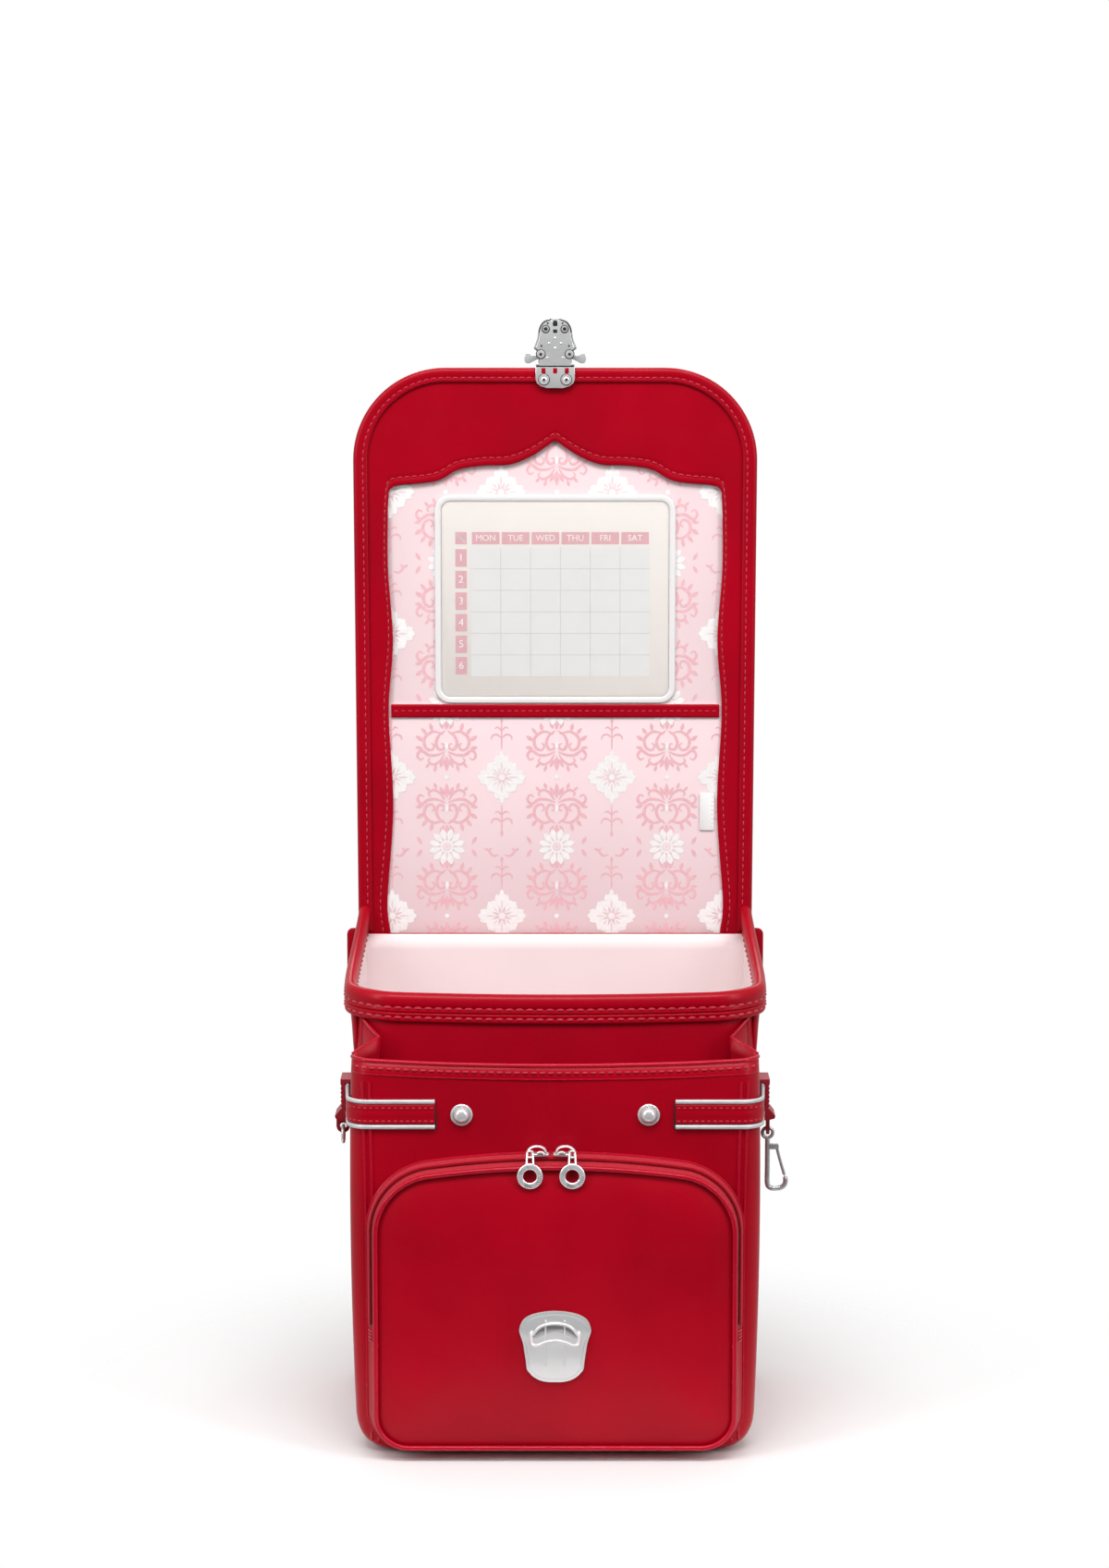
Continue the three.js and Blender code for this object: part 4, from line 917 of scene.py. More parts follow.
def make_second():
    split = SECOND_FRONT + SECOND["corner"]
    levels = wall_levels(SECOND_TOP - 0.8)
    rows = []
    for z in levels:
        row = plan_row(SECOND, z, second_bow(z))
        rows.append([(x, y, level - hem_sag(x, level)) for x, y, level in row])
    under = [(x, max(split, y + CLEAR), 0.0) for x, y, _ in rows[0]]
    loft("second_front_leather", [under] + rows, RED_LEATHER, nodes=["second_front"], thick=1.8)
    top = rows[-1]
    roll = [(x * 0.996, y + 0.9, z - 0.4) for x, y, z in top]
    tube("second_edge_roll", resample(roll, 120), lambda t: 1.45 * round_end(t, 0.01), RED_PIPING, sides=12)
    stitches = Heap()
    line = [(x, y - 0.05, z - 4.4) for x, y, z in top[1:-1]]
    stitches.stitch(line, second_out, 5.0, 3.5, 0.62)
    stitches.build("second_hem_stitches", RED_THREAD)
    hem = Heap()
    crease = [(x, y - 0.1, z - 8.4) for x, y, z in top]
    hem.tube(resample(crease, 90), 0.45)
    for side in (-1, 1):
        for offset, radius in ((110.2, 1.15), (114.2, 0.95)):
            run = [second_point(side * (offset + 0.02 * (z - 180)), z, 0.15) for z in range(8, 236, 6)]
            hem.tube(run, radius)
    hem.build("second_seam_ridges", RED_PIPING)
    make_bellows()


def main_skin(x, z):
    """The main body's front skin above the ground at a point."""
    corner = corner_at(MAIN, z)
    reach = min(max(abs(x) - half_at(MAIN, max(z, 1.0)) + corner, 0.0), corner)
    return MAIN_FRONT + corner - math.sqrt(corner ** 2 - reach ** 2)


def make_bellows():
    front = SECOND_FRONT + SECOND["corner"] + 1 + 0.15
    back = SECOND_BACK
    heights = [lerp(SECOND_TOP, BASE_CORNER, (i / 20) ** 1.2) for i in range(20)]
    right = [(half_at(SECOND, z), z, 1.0, 0.0, 1 - i / 20) for i, z in enumerate(heights)]
    for u, v in arc(0, 0, 1, 0, -90, 12):
        z = BASE_CORNER * (1 + v)
        right.append((half_at(SECOND, z), z, u, v, 0.0))
    whole = right + [(-x, z, -u, v, s) for x, z, u, v, s in right][::-1]
    across = 14
    rows = []
    for x, z, u, v, share in whole:
        fold = 15.5 * share ** 0.7
        tuck = 4.0 * share ** 0.7
        row = []
        for k in range(across + 1):
            t = k / across
            depth = fold * (1 - abs(2 * t - 1))
            if t > 0.5:
                depth = lerp(fold, tuck, 2 * t - 1)
            rise = (BELLOWS_TOP - SECOND_TOP - 0.5) * t * max(0.0, (share - 0.9) / 0.1)
            px, pz = x - (depth + 0.4) * u, z - (depth + 0.4) * v + rise
            row.append((px, lerp(front, max(main_skin(px, pz), back) + 0.3, t), pz))
        rows.append(row)
    # The bellows use the darker leather copy, which is painted shade in their tucked folds.
    loft("bellows_leather", rows, SHADED_LEATHER, nodes=["second_gusset"], thick=1.1)
    edges = Heap()
    for side in (0, -1):
        edges.tube(rows[side], 0.85)
        fold = [row[across // 2] for row in (rows[:16] if side == 0 else rows[-16:])]
        edges.tube(fold, 0.7)
    edges.build("bellows_edges", RED_PIPING, slot="red_trim")


# Zip pocket
def pocket_arch_run(inset, fine=1):
    half = POCKET_HALF - inset
    top = POCKET_TOP - inset - POCKET_ARCH
    radius = max(POCKET_TOP_CORNER - inset, 4.0)
    corner = arc(half - radius, top - radius, radius, 0, 80, 18 * fine)
    start = corner[-1]
    arch = []
    for i in range(1, 14 * fine):
        s = 1 - i / (14 * fine)
        arch.append((start[0] * s, lerp(start[1], POCKET_TOP - inset, 1 - s ** 2)))
    straight = [(half, lerp(ZIP_END, top - radius, i / (8 * fine))) for i in range(8 * fine)]
    right = straight + corner + arch
    return right + [(0.0, POCKET_TOP - inset)] + [(-x, z) for x, z in right][::-1]


def pocket_lower_run(inset):
    half = POCKET_HALF - inset
    bottom = POCKET_BOTTOM + min(inset, 60)
    radius = max(POCKET_BOTTOM_CORNER - inset, 4.0)
    floor = [(lerp(0, half - radius, i / 10), bottom) for i in range(10)]
    corner = arc(half - radius, bottom + radius, radius, 270, 360, 12)
    rise = [(half, lerp(bottom + radius, ZIP_END, i / 6)) for i in range(1, 7)]
    right = floor + corner + rise
    return [(-x, z) for x, z in right][::-1] + right[1:]


def pocket_ring(inset, y):
    outline = pocket_arch_run(inset) + pocket_lower_run(inset)[1:-1]
    return [(x, y, z) for x, z in outline]


def make_pocket():
    tape_profile = [(-0.1, POCKET_BACK + 0.2), (0.0, -84.0), (0.5, -85.2), (1.1, -86.0), (1.9, -87.6),
                    (2.6, -89.2), (3.2, -90.4), (4.0, -92.4), (4.7, -94.0), (5.3, -95.4),
                    (6.2, POCKET_FRONT - 0.2)]
    rows = [[(x, y, z) for x, z in pocket_arch_run(inset)] for inset, y in tape_profile]
    # The tape's lightened colour is painted light in the shaded channel.
    loft("zip_tape_strip", rows, LIT_ZIP_TAPE, nodes=["zip_tape"], thick=0.9)
    rows = [[(x, y, z) for x, z in pocket_lower_run(inset)] for inset, y in tape_profile]
    loft("pocket_gusset_leather", rows, RED_LEATHER, nodes=["pocket_gusset"], thick=1.2)
    seam = Heap()
    outer = pocket_ring(-0.2, POCKET_BACK - 0.6)
    seam.rows(tube_rows(outer, 0.9, 8, closed=True), around=True, along=True)
    seam.build("pocket_outer_seam", RED_PIPING)
    path = resample(pocket_ring(POCKET_SLOPE - 0.5, PIPING_Y), 420, closed=True)
    tube("pocket_piping_roll", path, PIPING_RADIUS + 0.1, RED_PIPING, sides=14, closed=True,
         nodes=["pocket_piping"])
    make_pocket_face()
    make_teeth()


def make_pocket_face():
    swell = [(0.4, -0.25), (0.6, 0.0), (2.4, 0.08), (5, 0.2), (8, 0.35), (13, 0.54), (20, 0.72), (28, 0.85),
             (36, 0.93), (45, 0.98), (52, 1.0)]
    rows = [pocket_ring(POCKET_SLOPE + inset, POCKET_FRONT - share * POCKET_BULGE)
            for inset, share in swell]
    last = rows[-1]
    centre = centre_of(last)
    rows = [[(x, y + ripple(x, z, 0.16) * min(k / 6, 1), z) for x, y, z in row]
            for k, row in enumerate(rows)]
    for share in (0.15, 0.3, 0.45, 0.6, 0.75, 0.9, 0.98):
        ring = []
        for x, _, z in last:
            px, pz = lerp(x, centre[0], share), lerp(z, centre[2], share)
            ring.append((px, FACE_FRONT + ripple(px, pz, 0.16), pz))
        rows.append(ring)
    points = [p for row in rows for p in row]
    count = len(last)
    faces = loft_faces(rows, around=True) + [tuple((len(rows) - 1) * count + i for i in range(count))]
    face = make_object("pocket_face_leather", points, faces, RED_LEATHER, nodes=["pocket_face"], sharp=60)
    thicken(face, 1.3)


def make_teeth():
    line = resample([(x, 0, z) for x, z in pocket_arch_run(2.25, 2)], 421)
    heap = Heap()
    for p, t in zip(line, tangents(line)):
        if p.z < ZIP_END + 2.4:
            continue
        out = Vector((-t.z, 0, t.x))
        out = out if out.dot(Vector((p.x, 0, p.z - 90))) > 0 else -out
        for lane in (-1, 1):
            base = Vector((p.x, 0, p.z)) + t * (0.32 * lane)
            ring = []
            for y in (-89.9, -88.4) if lane > 0 else (-91.3, -90.0):
                for s, h in ((-0.36, 0.0), (0.36, 0.0), (0.3, 0.95), (-0.3, 0.95)):
                    q = base + t * s + out * h
                    ring.append((q.x, y, q.z))
            heap.rows([ring[:4], ring[4:]], around=True, caps=True)
    # The coil's lightened colour is painted light in the shaded channel.
    heap.build("zip_coil", LIT_ZIP_COIL, nodes=["zipper_teeth"])
    tacks = Heap()
    for side in (-1, 1):
        for k in range(4):
            z = ZIP_END - 1.5 - k * 2.0
            start = Vector((side * 112.9, -84.5, z))
            end = Vector((side * 110.0, -92.0, z))
            out = Vector((side * 0.9, -0.3, 0.0))
            tacks.stitch([start, end], out, 8.0, 7.4, 0.5)
    tacks.build("zip_end_tacks", RED_THREAD)


# Zip pulls and sliders
def make_slider(side, name):
    centre = ZIP_MEET + side * 6.9
    rows = []
    for share, grow in ((-0.5, 0.35), (-0.47, 0.8), (-0.38, 1.0), (-0.1, 0.9), (0.1, 0.82), (0.35, 0.66),
                        (0.46, 0.5), (0.5, 0.25)):
        x = centre + side * share * -11.0
        half_y, half_z = 3.5 * grow, 1.5 * (0.6 + 0.4 * grow)
        ring = [(x, -90.2 + half_y * math.cos(a) * (1 + 0.15 * abs(math.sin(a))),
                 187.6 + half_z * math.sin(a)) for a in turn(20)]
        rows.append(ring)
    solid(f"slider_body_{name}", rows, SILVER, nodes=[f"zip_slider_{name}"])
    eye = ZIP_MEET + side * PULL_REACH
    inner, outer = eye - side * 9.4, eye + side * 1.6
    arch = [(0.0, 188.2), (0.02, 190.2), (0.14, 192.0), (0.38, 193.0), (0.66, 193.0), (0.88, 191.8),
            (0.99, 190.0), (1.0, 188.2)]
    line = curve_through([(lerp(inner, outer, t), -91.4 - 2.6 * t, z) for t, z in arch], 34)
    rows = []
    for p, t in zip(line, tangents(line)):
        out = Vector((0, 1, 0)).cross(t).normalized()
        rows.append([p + Vector((0, 1, 0)) * 1.7 * math.cos(a) + out * 0.75 * math.sin(a)
                     for a in turn(14)])
    solid(f"slider_crown_{name}", rows, SILVER)
    bridge = [(inner + side * 1.0, -93.0, 188.7), (eye - side * 6.2, -93.3, 189.5),
              (eye - side * 4.0, -93.4, 188.7)]
    tube(f"slider_bridge_{name}", curve_through(bridge, 12), lambda t: 0.9 * round_end(t, 0.1), SILVER,
         sides=12)


def make_pull(side, name):
    body = f"pull_{name}"
    x = ZIP_MEET + side * PULL_REACH
    ring_y, ring_z = -101.9, 177.0
    profile = [(4.15, -0.5), (4.15, 0.5), (4.6, 0.9), (5.9, 1.05), (7.1, 0.9), (7.6, 0.5), (7.6, -0.5),
               (7.1, -0.9), (5.9, -0.95), (4.6, -0.9)]
    rows = turned_rows(profile, x, ring_y, ring_z, 56)
    loft(f"pull_ring_{name}", rows, SILVER, around=True, along=True, nodes=[f"zip_pull_{name}"], body=body)
    # Dark hatch marks on the ring's lower right and upper left: painted shade in its hatched grooves.
    hatch_shade = Heap()
    for k in range(18):
        angle = math.radians(235 + k * 11) if k < 12 else math.radians(95 + (k - 12) * 11)
        ends = [(x + r * math.cos(a), ring_y - 1.0, ring_z + r * math.sin(a))
                for r, a in ((4.8, angle), (7.0, angle + 0.2))]
        hatch_shade.tube(resample(ends, 3), 0.32, 6)
    hatch_shade.build(f"pull_hatch_shade_{name}", SHADED_SILVER, body=body)
    heap = Heap()
    rail = [(-94.9, 190.3), (-96.6, 190.6), (-98.0, 189.4), (-99.6, 187.2), (-101.2, 185.0),
            (-101.9, 184.0)]
    for s in (-1, 1):
        run = curve_through([(x + s * lerp(1.5, 2.1, k / 5), y, z) for k, (y, z) in enumerate(rail)], 18)
        heap.tube(run, 0.65, 10)
    for y, z, half in ((-95.2, 190.5, 1.6), (-99.2, 187.8, 1.9), (-101.9, 184.1, 2.3)):
        heap.tube([(x - half, y, z), (x, y, z), (x + half, y, z)], 0.7, 10)
    heap.build(f"pull_link_{name}", SILVER, body=body)


# Metal on the front
def make_studs():
    profile = [(6.2, -0.1), (6.65, 0.3), (6.6, 1.0), (6.1, 1.45), (5.5, 1.3), (5.15, 1.0), (4.9, 1.2),
               (4.75, 2.0), (4.4, 3.1), (3.7, 4.0), (2.6, 4.7), (1.3, 5.0), (0.25, 5.05)]
    for side, name in ((-1, "left"), (1, "right")):
        rows = turned_rows(profile, side * STUD_X, SECOND_FRONT - CLEAR, STUD_Z, 48)
        solid(f"stud_dome_{name}", rows, SILVER, nodes=[f"stud_{name}"])
        # A dark ring round each dome's foot: painted shade in its groove.
        groove_shade = ring_about(side * STUD_X, SECOND_FRONT - CLEAR - 1.02, STUD_Z, 5.1)
        tube(f"stud_groove_shade_{name}", groove_shade, 0.22, SHADED_SILVER, sides=8, closed=True)


STRIKER_SIDE = [
    (0.0, 1.0), (0.2, 0.998), (0.42, 0.975), (0.62, 0.92), (0.73, 0.86), (0.79, 0.82), (0.82, 0.7),
    (0.86, 0.57), (0.89, 0.47), (0.93, 0.4), (0.97, 0.34), (1.0, 0.29), (0.995, 0.25), (0.97, 0.2),
    (0.94, 0.165), (0.86, 0.11), (0.7, 0.06), (0.5, 0.03), (0.25, 0.008), (0.0, 0.0),
]


def striker_outline(shrink=0.0):
    right = [(half * (STRIKER_HALF - shrink), STRIKER_TOP - shrink - drop * (STRIKER_HEIGHT - 2 * shrink))
             for half, drop in STRIKER_SIDE]
    smooth = flat_curve(right, 70)
    return smooth + [(-x, z) for x, z in smooth[1:-1]][::-1]


def make_striker():
    seat = FACE_FRONT - CLEAR
    slab("striker_plate_edge", striker_outline(), seat - 1.2, seat, 0.5, SILVER, nodes=["striker_plate"])
    slab("striker_plate_face", striker_outline(2.0), seat - 1.75, seat - 1.0, 0.45, SILVER)
    bits = Heap()
    front = seat - 1.7
    for x in (-5.8, 5.8):
        run = [(x * 0.96, front + 0.1, 90.2), (x * 0.97, front - 0.5, 88.6), (x, front - 0.2, 80.0),
               (x, front, 70.0), (x, front + 0.1, 61.0)]
        bits.tube(curve_through(run, 30), lambda t: 0.62 * round_end(t, 0.05), 10)
    for side in (-1, 1):
        run = [(side * 18.4, front + 0.1, 79.0), (side * 17.0, front, 70.0),
               (side * 15.2, front + 0.1, 60.5)]
        bits.tube(curve_through(run, 20), lambda t: 0.4 * round_end(t, 0.05))
    bits.build("striker_ridges", SILVER)
    half = 14.3
    # A grey slab between the arch and the bail: painted shade in the striker's hollow.
    hollow_shade = flat_curve([(-13.6, 79.4), (-8.5, 85.4), (0, 87.2), (8.5, 85.4), (13.6, 79.4)], 30)
    hollow_shade += flat_curve([(11.5, 78.6), (0, 82.6), (-11.5, 78.6)], 24)
    slab("striker_hollow_shade", hollow_shade, front - 0.12, front + 0.4, 0.05, HOOK_METAL)
    bail = [(-half + 0.4, seat - 1.0, 82.6), (-half, front - 3.2, 81.6), (-half + 0.1, front - 7.2, 79.0),
            (-half + 1.2, front - 9.4, 77.4), (-half + 4, front - 10.4, 77.3), (-6, front - 10.9, 79.2),
            (0, front - 11.0, 80.3), (6, front - 10.9, 79.2), (half - 4, front - 10.4, 77.3),
            (half - 1.2, front - 9.4, 77.4), (half - 0.1, front - 7.2, 79.0), (half, front - 3.2, 81.6),
            (half - 0.4, seat - 1.0, 82.6)]
    tube("striker_bail", curve_through(bail, 90), 1.2, SILVER, sides=14)
    arch = [(-half + 0.2, front - 0.8, 80.2), (-8.6, front - 1.5, 86.2), (0, front - 1.8, 88.1),
            (8.6, front - 1.5, 86.2), (half - 0.2, front - 0.8, 80.2)]
    tube("striker_arch", curve_through(arch, 50), lambda t: 0.85 * round_end(t, 0.05), SILVER, sides=12)


# Flap lock
LOCK_SIDE = [(10.5, 650.2), (10.5, 658.0), (11.0, 659.8), (13.4, 661.9), (13.0, 663.4), (12.0, 665.6),
             (11.2, 668.0), (10.8, 670.4), (10.5, 672.9), (9.9, 675.2), (8.7, 677.4), (7.0, 679.2),
             (5.0, 680.3), (3.4, 680.8), (2.2, 680.9), (2.0, 680.3)]
LEVER_SIDE = [(11.2, 655.0), (13.8, 653.8), (16.4, 652.6), (18.5, 653.1), (19.4, 655.4), (19.0, 657.9),
              (17.6, 659.3), (16.0, 658.8), (14.2, 657.8), (11.6, 658.3)]


def mirrored(right):
    return right + [(-x, z) for x, z in right if x > 0][::-1]


def lock_outline(shrink=0.0):
    return inset_outline(mirrored(LOCK_SIDE), shrink)


def lock_base():
    return mirrored([(5.2, 637.3), (9.2, 638.6), (11.4, 640.4), (12.2, 642.4), (12.3, 650.6), (11.6, 652.0),
                     (0.0, 652.0)])


def make_lock():
    base = lock_base()
    slab("lock_base_plate", base, LOCK_FRONT, LOCK_FRONT + 1.4, 0.4, SILVER, nodes=["flap_lock"])
    slab("lock_back_plate", base, 89.5, 90.9, 0.4, SILVER)
    bridge = rounded_rectangle(-12.3, 12.3, FLAP_EDGE + 0.3, FLAP_EDGE + 2.8, 0.8, 3)
    slab("lock_bridge", bridge, LOCK_FRONT, 90.9, 0.3, SILVER)
    # The lock body takes the darker metal, which shows as a painted shade rim round the lock face.
    slab("lock_shaded_body", lock_outline(), LOCK_FRONT + 0.2, LOCK_FRONT + 7.8, 0.8, SHADED_SILVER)
    slab("lock_face", lock_outline(1.0), LOCK_FRONT - 0.6, LOCK_FRONT + 0.8, 0.4, SILVER)
    details = Heap()
    boss = [(2.0, -0.2), (2.0, 0.5), (1.8, 0.75), (1.25, 0.8), (1.1, 0.5), (0.1, 0.45)]
    knuckle = [(2.5, -0.2), (2.5, 0.5), (2.2, 0.85), (0.1, 1.0)]
    for profile, (x, z) in ((boss, BOSS), (knuckle, KNUCKLE)):
        for side in (-1, 1):
            details.turned(profile, side * x, LOCK_FRONT - 0.4, z, 24)
    r = 0.7
    for x, z in ((-3.8, 665.2), (3.8, 665.2), (0.0, 668.4), (0.0, 662.2), (-5.0, 656.2), (5.0, 656.2)):
        details.turned([(r, -0.2), (r, 0.2), (r * 0.6, 0.4), (0.1, 0.42)], x, LOCK_FRONT - 0.5, z, 14)
    details.build("lock_details", SILVER)
    make_lock_holes()
    profile = [(3.2, -0.1), (3.2, 0.3), (2.9, 0.6), (2.3, 0.55), (2.05, 0.3), (1.8, 0.6), (1.5, 0.9),
               (0.8, 1.0), (0.1, 1.02)]
    for side, name in ((-1, "left"), (1, "right")):
        rows = turned_rows(profile, side * LOCK_RIVET[0], LOCK_FRONT - 0.1, LOCK_RIVET[1], 32)
        solid(f"lock_rivet_head_{name}", rows, SILVER, nodes=[f"lock_rivet_{name}"])
        make_lever(side, name)


def make_lock_holes():
    windows = Heap()
    for x in (-7.3, 0, 7.3):
        window = rounded_rectangle(x - 1.3, x + 1.3, 646.4, 649.8, 0.35, 2)
        windows.slab(window, LOCK_FRONT - 0.06, LOCK_FRONT + 0.6, 0.04)
    windows.build("lock_windows", INSIDE_LEATHER)
    # Near-black marks painted as shade: the openings, a line under the lock's top edge, the grooves round
    # bosses, knuckles and rivets, and dots at their centres.
    hole_shade = Heap()
    rim = curve_through([(-9.9, LOCK_FRONT - 0.2, 672.0), (-9.2, LOCK_FRONT - 0.2, 675.0),
                         (-6.8, LOCK_FRONT - 0.2, 678.2), (-2.6, LOCK_FRONT - 0.2, 679.9)], 20)
    for side in (-1, 1):
        hole_shade.tube([(side * p.x, p.y, p.z) for p in rim], 0.5)
    for x0, x1, z0, z1 in ((-1.4, 1.4, 675.8, 679.2), (-1.3, 1.3, 671.6, 673.8)):
        hole_shade.slab(rounded_rectangle(x0, x1, z0, z1, 0.4, 2), LOCK_FRONT - 0.72, LOCK_FRONT, 0.05)
    for (x, z), radius, lift in ((BOSS, 2.35, 0.55), (KNUCKLE, 2.8, 0.55), (LOCK_RIVET, 3.4, 0.0)):
        for side in (-1, 1):
            groove_shade = ring_about(side * x, LOCK_FRONT - lift, z, radius)
            hole_shade.rows(tube_rows(groove_shade, 0.3, 8, closed=True), around=True, along=True)
    shade_spots = [(BOSS, 1.05, 0.75), ((8.6, 663.6), 0.6, 0.3), (KNUCKLE, 0.9, 1.1), (LOCK_RIVET, 0.75, 0.95),
             ((4.6, 677.6), 0.6, 0.3)]
    for (x, z), r, lift in shade_spots:
        for side in (-1, 1):
            profile = [(r, -0.5), (r, 0.22), (0.05, 0.24)]
            hole_shade.turned(profile, side * x, LOCK_FRONT - 0.2 - lift, z, 16)
    hole_shade.build("lock_hole_shade", HOLE_SHADE)


def make_lever(side, name):
    front = LOCK_FRONT + 2.7
    root = arc(9.2, FLAP_EDGE + 7.6, 2.2, 70, 290, 14)
    shaped = [(side * x, z) for x, z in root + flat_curve(LEVER_SIDE, 44)]
    slab(f"lever_arm_{name}", shaped, front, front + 2.4, 0.5, SILVER, nodes=[f"lock_lever_{name}"],
         body=f"lever_{name}")


# Side bands and holders
def band_path():
    front = SECOND_FRONT - 2 * CLEAR
    half = half_at(SECOND, BAND_LEVEL) + 2 * CLEAR
    radius = SECOND["corner"] + 2 * CLEAR
    stand = half_at(MAIN, BAND_LEVEL) + 2.0 + 2 * CLEAR + 0.4
    front_edge = HOLDER_Y - 10.0
    split = SECOND_FRONT + SECOND["corner"] + 1
    path = [(lerp(BAND_START, half - radius, i / 8), front, 0.0, -1.0) for i in range(8)]
    path += [(half - radius + radius * u, SECOND_FRONT + SECOND["corner"] + radius * v, u, v)
             for u, v in arc(0, 0, 1, -90, -12, 12)]
    rear = [(lerp(half, stand, 0.45), lerp(split, front_edge, 0.45)), (stand, front_edge - 2),
            (stand, HOLDER_Y + 10.0)]
    start = path[-1]
    line = curve_through([(start[0], start[1], 0)] + [(x, y, 0) for x, y in rear], 16)
    path += [(p.x, p.y, 1.0, 0.0) for p in line[1:]]
    return path


def band_rows(side, section):
    rows = []
    for x, y, nx, ny in band_path():
        rows.append([(side * (x + u * nx), y + u * ny, BAND_LEVEL + w) for u, w in section])
    return rows


def make_bands():
    body = BAND_BODY
    leather_section = [(0.1, -body), (1.0, -body - 0.05), (1.7, -body + 0.7), (1.75, -body + 1.6),
                       (1.5, -body + 2.2), (1.95, -1.4), (2.05, 0.0), (1.95, 1.4), (1.5, body - 2.2),
                       (1.75, body - 1.6), (1.7, body - 0.7), (1.0, body + 0.05), (0.1, body)]
    for side, name in ((-1, "left"), (1, "right")):
        solid(f"band_leather_{name}", band_rows(side, leather_section), RED_LEATHER,
              nodes=[f"side_band_{name}"])
        for up, label in ((1, "upper"), (-1, "lower")):
            section = [(1.05 + 1.15 * math.cos(a), up * 7.7 + 1.35 * math.sin(a)) for a in turn(14)]
            solid(f"{label}_reflective_{name}", band_rows(side, section), REFLECTIVE,
                  nodes=[f"{label}_piping_{name}"])
        stitches = Heap()
        for level in (-4.0, 4.0):
            line = [(side * (x + 1.5 * nx), y + 1.5 * ny, BAND_LEVEL + level)
                    for x, y, nx, ny in band_path()[:-6]]
            stitches.stitch(line, second_out, 3.6, 2.6, 0.42)
        stitches.build(f"band_stitches_{name}", RED_THREAD)
        # A near-black slab in each band slot: painted shade where the band passes through.
        slot_outline = rounded_rectangle(side * BAND_START - 1.0, side * BAND_START + 1.0, BAND_LEVEL - 9.6,
                                         BAND_LEVEL + 9.6, 0.9, 4)
        slab(f"band_slot_shade_{name}", slot_outline, SECOND_FRONT - 0.5, SECOND_FRONT + 0.3, 0.15, HOLE_SHADE,
             slot="red_trim")


def beveled_copy(node, name, material, width, segments=2):
    """The node's own shape with its edges rounded."""
    mesh = NODES[node].data.copy()
    mesh.name = name
    mesh.materials.clear()
    mesh.materials.append(material)
    mesh.shade_smooth()
    mesh.set_sharp_from_angle(angle=math.radians(35))
    piece = bpy.data.objects.new(name, mesh)
    bpy.context.scene.collection.objects.link(piece)
    bevel = piece.modifiers.new("edges", "BEVEL")
    bevel.width = width * MM
    bevel.segments = segments
    bevel.limit_method = "ANGLE"
    bevel.angle_limit = math.radians(32)
    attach(piece, "bag")
    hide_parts(node)
    return piece


def make_side_fittings():
    for name in ("left", "right"):
        beveled_copy(f"side_holder_{name}", f"holder_moulding_{name}", RED_MOULD, 0.35)
    ring = [(-HOLDER_FACE + 1.0, HOLDER_Y + 5.0 * math.cos(a), 185.9 + 5.0 * math.sin(a)) for a in turn(48)]
    tube("side_ring_wire", ring, 1.1, SILVER, sides=12, closed=True, nodes=["side_ring"])
    make_hook()


def make_hook():
    x = 130.27
    eye = ring_about(x, HOLDER_Y, 186.5, 3.2)
    tube("hook_eye", eye, 1.1, HOOK_METAL, sides=12, closed=True, nodes=["side_hook"])
    spine = [(x, HOLDER_Y, 183.6), (x, HOLDER_Y, 176), (x, HOLDER_Y, 164), (x + 0.1, HOLDER_Y, 154.5),
             (x + 2.0, HOLDER_Y, 151.9), (x + 5.5, HOLDER_Y, 151.5), (x + 9.0, HOLDER_Y, 152.2),
             (x + 11.0, HOLDER_Y, 154.6), (x + 11.2, HOLDER_Y, 157.6), (x + 10.2, HOLDER_Y, 159.0)]
    tube("hook_wire", curve_through(spine, 60), lambda t: 1.55 * round_end(t, 0.03), HOOK_METAL, sides=12)
    # A dark strip down the hook's spine: painted shade.
    face = rounded_rectangle(x - 0.7, x + 0.7, 158, 182, 0.5, 3)
    slab("hook_spine_shade", face, HOLDER_Y - 1.45, HOLDER_Y - 1.1, 0.1, SHADED_SILVER)
    lug = rounded_rectangle(x + 0.4, x + 6.9, 176.2, 179.4, 0.9, 3)
    for name, y in (("front", HOLDER_Y - 1.3), ("back", HOLDER_Y + 0.9)):
        slab(f"hook_lug_{name}", lug, y, y + 0.45, 0.15, HOOK_METAL)
    gate = [(135.87, HOLDER_Y, 177.8), (137.6, HOLDER_Y, 171.0), (139.6, HOLDER_Y, 164.0),
            (141.0, HOLDER_Y, 159.4)]
    tube("gate_bar", curve_through(gate, 20), lambda t: 0.95 * round_end(t, 0.05), HOOK_METAL, sides=10,
         nodes=["hook_gate"], body="gate")


# Flap
def flap_half(z):
    return lerp(FLAP_ROOT_HALF, FLAP_TOP_HALF, (z - FLAP_ROOT) / (FLAP_HEIGHT - FLAP_CORNER - FLAP_ROOT))


def flap_run(grow, bottom, straight=24, corner_steps=22, across=24):
    """The flap's edge from its right foot over the top to its left foot."""
    radius = FLAP_CORNER + grow
    shoulder = FLAP_HEIGHT - FLAP_CORNER
    levels = [lerp(bottom, shoulder, i / straight) for i in range(straight)]
    side = [(flap_half(z) + grow, z) for z in levels]
    corner = arc(FLAP_TOP_HALF - FLAP_CORNER, shoulder, radius, 0, 90, corner_steps)
    reach = corner[-1][0]
    top = [(lerp(reach, 0, i / across), FLAP_HEIGHT + grow) for i in range(1, across + 1)]
    right = side + corner + top
    return right + [(-x, z) for x, z in right[:-1]][::-1]


